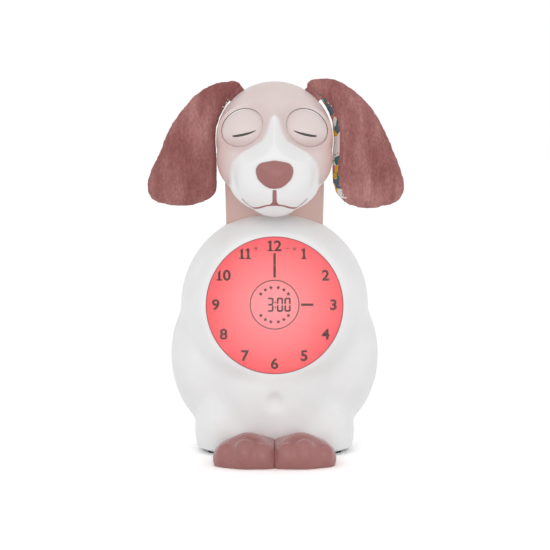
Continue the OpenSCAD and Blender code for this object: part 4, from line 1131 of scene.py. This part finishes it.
def makeDial(ink, faintInk, edgeShadowMaterial):
    print("dial")
    d = dial
    front = d["displayFront"]
    makeDisplay(edgeShadowMaterial)
    marks = [numeralOn(str(i), i * 30) for i in range(1, 13)]
    marks.append(ringOn("innerCircle", d["circle"], d["circleLine"], front))
    low, high, width = d["minuteBar"]
    for start, end in ((low, d["barBreak"] - d["barGap"] / 2), (d["barBreak"] + d["barGap"] / 2, high)):
        marks.append(plateOn("minuteBar", bar(0, (start + end) / 2, width, end - start), front))
    low, high, width = d["hourBar"]
    marks.append(plateOn("hourBar", bar((low + high) / 2, 0, high - low, width), front))
    for turn in d["starTurns"]:
        for angle in (math.radians(turn), math.radians(-turn)):
            at = (d["starRing"] * math.cos(angle), d["starRing"] * math.sin(angle))
            marks.append(plateOn("star", starPoints(d["starSize"], at), front))
    for cx, segments in zip(d["digitsAt"], ("abcdg", "abcdef", "abcdef")):
        marks += [plateOn("segment", points, front) for points in digitBars(cx, segments)]
    for rise in (-d["colonRise"], d["colonRise"]):
        marks.append(plateOn("colon", ringPoints(d["colonSize"], 12, at=(d["colonAt"], rise)), front))
    allMarks = joinAll("dialPrint", marks)
    allMarks.location = dialTurn().to_3x3() @ Vector((0, d["rise"] * mm, 0))
    finishPiece(allMarks, ink, rootBody, "black_plastic")

    faint = [plateOn("dash", bar(*d["dash"]), front)]
    for at in d["suns"]:
        faint.append(plateOn("sunDisc", ringPoints(d["sunSize"], 16, at=at), front))
        for ray in ringPoints(d["rayRing"], 8, at=at):
            faint.append(plateOn("sunRay", ringPoints(d["raySize"], 6, at=ray), front))
    finishPiece(joinAll("dialFaintPrint", faint), faintInk, rootBody, "black_plastic")


marks = {
    "lift": 48.49, "thickness": 0.12, "sink": 0.04,
    "plusSize": 3.2, "plusLine": 0.6,
    "sunSize": 0.85, "ray": (1.65, 0, 0.75, 0.3), "rays": 8,
    "bell": ((-1.6, 1.0), (1.6, 1.0), (1.15, 0.4), (1.0, -0.6), (0.6, -1.3), (0, -1.5), (-0.6, -1.3),
             (-1.0, -0.6), (-1.15, 0.4)),
    "clapperSize": 0.32, "clapperDrop": 1.35,
    "faceSize": 1.75, "faceHole": 1.45, "holeShift": -0.1, "holeSwell": 0.6,
    "minuteHand": (0, -0.45, 0.3, 1.1), "hourHand": (0.4, 0, 0.9, 0.3),
}


def backPlate(name, points, key):
    # a thin printed mark on the top of a button, seen from behind
    x, z = shell["keysAt"][key]
    spot = place(x, marks["lift"] - marks["sink"], shell["bellyHeight"] + z)
    toBack = Matrix.Translation(spot) @ Matrix.Rotation(backwards[0], 4, "X")
    return addOutline(name, points, marks["thickness"], toBack)


def turned(points, angle):
    c, s = math.cos(angle), math.sin(angle)
    return [(x * c - y * s, x * s + y * c) for x, y in points]


def makeBackMarks(material):
    print("marks on the buttons")
    m = marks
    long, line = m["plusSize"], m["plusLine"]
    plus = [backPlate("plus", bar(0, 0, *size), "plus") for size in ((long, line), (line, long))]
    minus = [backPlate("minus", bar(0, 0, long, line), "minus")]
    sun = [backPlate("sun", ringPoints(m["sunSize"], 20), "light")]
    for i in range(m["rays"]):
        sun.append(backPlate("ray", turned(bar(*m["ray"]), math.tau * i / m["rays"]), "light"))
    bell = [backPlate("bell", m["bell"], "alarm"),
            backPlate("clapper", ringPoints(m["clapperSize"], 12, at=(0, m["clapperDrop"])), "alarm")]
    face = backPlate("face", ringPoints(m["faceSize"], 32), "clock")
    hole = backPlate("faceHole", ringPoints(m["faceHole"], 32), "clock")
    hole.location.y = m["holeShift"] * mm
    applyModifier(settle(hole), "SOLIDIFY", thickness=m["holeSwell"] * mm, offset=0)
    clock = [cut(face, hole)]
    clock += [backPlate("hand", bar(*m[hand]), "clock") for hand in ("minuteHand", "hourHand")]
    for key, pieces in (("plus", plus), ("minus", minus), ("light", sun), ("alarm", bell), ("clock", clock)):
        finishPiece(joinAll(key + "Mark", pieces), material, key + "_key", "black_plastic")


ears = {
    # turned: the heights between which the lining is turned out at the inner edge, and how wide;
    # under: where the lining shows at the lower end
    "left": {"side": 1, "turned": (144, 203, 3.4), "under": (34, 39), "outline": (
        (18.6, 208.6), (28.3, 212.5), (36, 211.2), (45, 206), (54.9, 196.8), (62.5, 184.5), (69.2, 169),
        (73.4, 157), (74.2, 150), (71.5, 143.6), (60, 138.8), (50, 138.4), (40.5, 141.6), (35, 148),
        (33, 158), (33, 172), (32.6, 186), (28.4, 197.5), (22.6, 203.6))},
    "right": {"side": -1, "turned": (196, 202, 1.6), "under": (38, 45), "outline": (
        (19.3, 209.2), (27.5, 211.2), (35.5, 209.4), (43.5, 204.8), (52.6, 195.6), (60.6, 184), (66.3, 170),
        (71.6, 158.5), (72.8, 149.5), (69, 143.2), (60, 140.4), (50, 139.8), (40, 142.4), (33.9, 147.2),
        (32.4, 158), (32.6, 172), (32.6, 184), (28.6, 195.6), (22.8, 203.4))},
    "underBelow": 141.5, "liningBehind": 1.2,
    "slab": 3.6, "grain": 1.7, "inset": 0.5,
    "simScale": 20, "pressure": 6, "mass": 0.3, "frames": 20, "cap": 3.4, "pullIn": 0.06,
    "foldDepth": 1.8, "foldScale": 0.02, "foldStretch": 3.2, "pileDepth": 0.42, "pileScale": 0.0011,
    "backward": 1.0, "swing": 30, "clearance": 0.4,
    "rootWidth": 10.4, "rootThickness": 2, "rootFrom": 26.1, "rootTo": 36.5,
}


def earPad(name, side, outline):
    # a flat pad cut to the ear's outline
    e = ears
    deselectAll()
    bpy.ops.curve.primitive_bezier_circle_add(rotation=(math.pi / 2, 0, 0))
    pad = named(name)
    curve = pad.data
    curve.dimensions = "2D"
    curve.fill_mode = "BOTH"
    spline = curve.splines[0]
    spline.bezier_points.add(len(outline) - len(spline.bezier_points))
    centre = Vector((sum(x for x, z in outline), sum(z for x, z in outline))) / len(outline)
    for point, (x, z) in zip(spline.bezier_points, outline):
        inward = (centre - Vector((x, z))).normalized() * e["inset"]
        point.co = (side * (x + inward.x) * mm, (z + inward.y) * mm, 0)
        point.handle_left_type = point.handle_right_type = "AUTO"
    curve.extrude = e["slab"] / 2 * mm
    curve.resolution_u = 8
    pad.location = place(0, e["backward"], 0)
    bpy.ops.object.convert(target="MESH")
    return oneSkin(settle(named(name)), e["grain"])


def puffUp(piece):
    # the pad's cloth is blown up from inside for a few frames, its travel capped
    e = ears
    before = [v.co.copy() for v in piece.data.vertices]
    for vertex in piece.data.vertices:
        vertex.co *= e["simScale"]
    cloth = piece.modifiers.new("Cloth", "CLOTH")
    cloth.settings.quality = 6
    cloth.settings.mass = e["mass"]
    cloth.settings.use_pressure = True
    cloth.settings.uniform_pressure_force = e["pressure"]
    cloth.settings.bending_stiffness = 0.5
    cloth.settings.effector_weights.gravity = 0
    cloth.point_cache.frame_start, cloth.point_cache.frame_end = 1, e["frames"]
    scene = bpy.context.scene
    for step in range(1, e["frames"] + 1):
        scene.frame_set(step)
    pick(piece)
    bpy.ops.object.modifier_apply(modifier=cloth.name)
    scene.frame_set(1)
    cap = e["cap"] * mm
    farthest = 0
    for vertex, old in zip(piece.data.vertices, before):
        step = vertex.co / e["simScale"] - old
        # the seam line keeps to its outline, so only part of the pull inwards is taken
        step.x *= e["pullIn"]
        step.z *= e["pullIn"]
        farthest = max(farthest, step.length)
        if step.length > cap:
            step *= cap / step.length
        vertex.co = old + step
    print("  swelled by", round(farthest / mm, 2), "mm at most")


def fitOutline(piece, side, outline):
    # brings the blown-up pad back to the width and height of its outline
    for axis, wanted in ((0, [side * x * mm for x, z in outline]), (2, [z * mm for x, z in outline])):
        low, high = spanOf(piece, axis)
        share = (max(wanted) - min(wanted)) / (high - low)
        for vertex in piece.data.vertices:
            vertex.co[axis] = min(wanted) + (vertex.co[axis] - low) * share


def foldCloth(piece):
    # broad folds that run down the ear
    e = ears
    folds = bpy.data.textures.new("folds", "CLOUDS")
    folds.noise_scale = e["foldScale"]
    stretch = bpy.data.objects.new("stretch", None)
    bpy.context.scene.collection.objects.link(stretch)
    stretch.scale = (1, 1, e["foldStretch"])
    bpy.context.view_layer.update()
    applyModifier(piece, "DISPLACE", texture=folds, strength=e["foldDepth"] * mm, mid_level=0.5,
        direction="Y", texture_coords="OBJECT", texture_coords_object=stretch)
    bpy.data.objects.remove(stretch)


def clearOfSkull(piece):
    # leaves room for the round head over the ear's whole swing
    h, e = head, ears
    skull = place(*h["skullAt"])
    pivotRise = (h["skullRadius"] - h["wall"] / 2) * math.cos(math.radians(h["earLean"])) * mm
    pivot = skull + Vector((0, 0, pivotRise))
    reach = (h["skullRadius"] + e["clearance"]) * mm
    centres = []
    for degrees in range(-e["swing"], e["swing"] + 1, 10):
        centres.append(pivot + Matrix.Rotation(math.radians(degrees), 3, "X") @ (skull - pivot))
    for vertex in piece.data.vertices:
        for centre in centres:
            away = vertex.co - centre
            if away.length < reach:
                vertex.co = centre + away * (reach / away.length)


def lineEar(ear, settings, plush, lining):
    # plush in front; the lining behind, turned out at the inner edge and under the lower end
    e = ears
    for material in (plush, lining):
        ear.data.materials.append(material)
    behind = place(0, e["backward"], 0).y + e["liningBehind"] * mm
    low, high, depth = settings["turned"]
    inner = {}
    for vertex in ear.data.vertices:
        band = round(vertex.co.z / (2 * mm))
        inner[band] = min(inner.get(band, 1), abs(vertex.co.x))
    for face in ear.data.polygons:
        across, height = abs(face.center.x) / mm, face.center.z / mm
        toEdge = across - inner.get(round(height / 2), 0) / mm
        turnedOut = toEdge < depth and low < height < high
        under = settings["under"][0] < across < settings["under"][1] and height < e["underBelow"]
        face.material_index = 1 if turnedOut or under or face.center.y > behind else 0


def raisePile(ear):
    # short tufts on the plush alone
    pile = bpy.data.textures.new("pile", "CLOUDS")
    pile.noise_scale = ears["pileScale"]
    group = ear.vertex_groups.new(name="plush")
    inPlush = {index for face in ear.data.polygons if face.material_index == 0 for index in face.vertices}
    group.add(sorted(inPlush), 1, "REPLACE")
    applyModifier(ear, "DISPLACE", texture=pile, strength=ears["pileDepth"] * mm, mid_level=0.5,
        texture_coords="LOCAL", vertex_group=group.name)


def makeEar(name, plush, lining):
    print("ear", name)
    e = ears
    settings = e[name]
    side = settings["side"]
    ear = earPad(name + "Ear", side, settings["outline"])
    puffUp(ear)
    soften(ear, 3)
    applyModifier(ear, "SUBSURF", levels=1, render_levels=1)
    fitOutline(ear, side, settings["outline"])
    foldCloth(ear)
    clearOfSkull(ear)
    soften(ear, 2)
    clearOfSkull(ear)
    lineEar(ear, settings, plush, lining)
    applyModifier(ear, "SUBSURF", levels=1, render_levels=1, subdivision_type="SIMPLE")
    raisePile(ear)
    root = addEarBlock("root", side, e["rootWidth"], e["rootThickness"], e["rootFrom"], e["rootTo"])
    root.data.materials.append(plush)
    ear = smoothShade(joinAll(name + "Ear", [ear, root]), 80)
    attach(ear, name + "_ear_flap")
    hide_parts(name + "_ear")
    print("  faces", len(ear.data.polygons))


def plushCloth():
    # short brushed pile: mottled dusty rose, streaks down the ear, soft sheen
    material, tree, shader = newMaterial("plush", tone(170, 112, 110), 0.95, {
        "Sheen Weight": 0.35, "Sheen Roughness": 0.55, "Sheen Tint": (*tone(230, 180, 178), 1),
        "Specular IOR Level": 0.15})
    streaks = noiseOn(tree, 120, 4, 0.6, (1, 1, 0.22))
    fine = noiseOn(tree, 900, 3, 0.7, (1, 1, 0.5))
    nap = noiseOn(tree, 26, 2, 0.5, (1, 1, 0.7))
    both = mathOf(tree, "MULTIPLY_ADD", nap, 1.3, mathOf(tree, "SUBTRACT", streaks, 0.66))
    broad = toneRamp(tree, both, ((0.25, (150, 92, 90)), (0.5, (174, 117, 114)), (0.78, (200, 146, 141))))
    tips = rampOf(tree, fine, ((0.35, (0.62, 0.6, 0.6)), (0.65, (1, 1, 1))))
    tree.links.new(mixOf(tree, 0.75, broad, tips, "MULTIPLY"), shader.inputs["Base Color"])
    bumpOn(tree, shader, fine, 0.35, 0.8)
    return material


def printedCotton():
    # a woven cotton lining with a print of plain many-coloured patches and dots
    material, tree, shader = newMaterial("printedCotton", tone(230, 228, 222), 0.9,
        {"Sheen Weight": 0.1, "Specular IOR Level": 0.2})
    split = tree.nodes.new("ShaderNodeSeparateColor")
    tree.links.new(cellsOn(tree, 240).outputs["Color"], split.inputs["Color"])
    patches = toneRamp(tree, split.outputs[0], (
        (0, (232, 230, 224)), (0.3, (222, 176, 52)), (0.48, (96, 110, 122)), (0.62, (232, 230, 224)),
        (0.78, (58, 122, 124)), (0.9, (206, 128, 120))))
    patches.node.color_ramp.interpolation = "CONSTANT"
    dots = rangeOf(tree, cellsOn(tree, 420).outputs["Distance"], 0.2, 0.26, 0.75, 0)
    tree.links.new(mixOf(tree, dots, patches, tone(70, 62, 66)), shader.inputs["Base Color"])
    bumpOn(tree, shader, noiseOn(tree, 1800, 2, 0.5), 0.1, 0.6)
    return material


# screen colour, roughness and mottle of the moulded plastics
plastics = {
    "whitePlastic": ((239, 239, 239), 0.36, 0.03), "rosePlastic": ((161, 108, 105), 0.3, 0.05),
    "neckPlastic": ((209, 176, 167), 0.42, 0.03), "innerWhite": ((225, 225, 222), 0.5, 0.03),
    "blackPlastic": ((34, 34, 36), 0.45, 0.03),
}

# screen colour, roughness and bump of the plain finishes
plainFinishes = {
    "dialInk": ((92, 46, 44), 0.6, 0), "dialFaintInk": ((170, 78, 80), 0.6, 0),
    "lashInk": ((66, 62, 60), 0.5, 0), "markInk": ((238, 226, 224), 0.5, 0),
    # the dark-red ring at the lens's edge is painted shadow that the recess casts on the lens
    "lensEdgeShadow": ((150, 60, 70), 0.4, 0), "whiteBoard": ((232, 232, 226), 0.45, 0.015),
    "greenBoard": ((30, 92, 60), 0.4, 0.015), "lamp": ((250, 226, 150), 0.3, 0.015),
    "footRubber": ((46, 46, 48), 0.85, 0.015), "speakerPaper": ((64, 62, 60), 0.9, 0.015),
    "cellWrap": ((190, 150, 60), 0.35, 0.015), "diffuser": ((245, 244, 240), 0.7, 0.015),
}

# the carried-over nodes that each finish goes on
finishOf = {
    "whitePlastic": ("base_cover", "battery_door"),
    "innerWhite": ("light_box", "eye_gear", "motor_pinion", "eye_bracket", "left_ear_anchor",
                   "right_ear_anchor"),
    "rosePlastic": ("alarm_button", "light_button", "clock_button", "minus_button", "plus_button",
                    "mode_switch"),
    "steel": ("paw_screws", "body_screws", "base_screws", "light_box_screws", "main_board_screws",
              "button_board_screws", "bracket_screws", "head_screws", "battery_door_screw",
              "battery_contacts", "eye_axle", "motor_shaft", "eye_motor", "speaker_magnet"),
    "whiteBoard": ("night_light_board",), "greenBoard": ("main_board", "button_board"),
    "lamp": ("night_light_lamps",), "footRubber": ("rubber_feet",), "speakerPaper": ("speaker_cone",),
    "blackPlastic": ("board_parts", "button_switches", "speaker_frame", "power_inlet"),
    "cellWrap": ("battery_cells",), "diffuser": ("light_diffuser",),
}


def makeFinishes():
    made = {}
    for name, (colour, roughness, mottle) in plastics.items():
        made[name] = mouldedPlastic(name, tone(*colour), roughness, mottle)
    for name, (colour, roughness, bump) in plainFinishes.items():
        made[name] = plainFinish(name, tone(*colour), roughness, bump=bump)
    made["steel"] = plainFinish("steel", (0.55, 0.55, 0.57), 0.3, metallic=1)
    return made


def dressNodes(finishes):
    # a CAD node keeps its mesh and gets a better finish
    print("finishes of the carried-over pieces")
    for finish, nodes in finishOf.items():
        for node in nodes:
            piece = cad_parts[node]
            for holder in piece.material_slots:
                holder.material = finishes[finish]
            if not piece.material_slots:
                piece.data.materials.append(finishes[finish])


makeStudio()
finishes = makeFinishes()
bodyOutside = makeShells(finishes["whitePlastic"])
makePaws(finishes["rosePlastic"], bodyOutside)
bpy.data.objects.remove(bodyOutside)
headOutside = makeHead(headPaint())
makeMouth(headOutside, finishes["rosePlastic"])
bpy.data.objects.remove(headOutside)
makeNose(finishes["rosePlastic"])
makeNeck(finishes["neckPlastic"])
makeEyes(finishes["lashInk"])
makeDial(finishes["dialInk"], finishes["dialFaintInk"], finishes["lensEdgeShadow"])
makeBackMarks(finishes["markInk"])
plush, lining = plushCloth(), printedCotton()
for earName in ("left", "right"):
    makeEar(earName, plush, lining)
dressNodes(finishes)
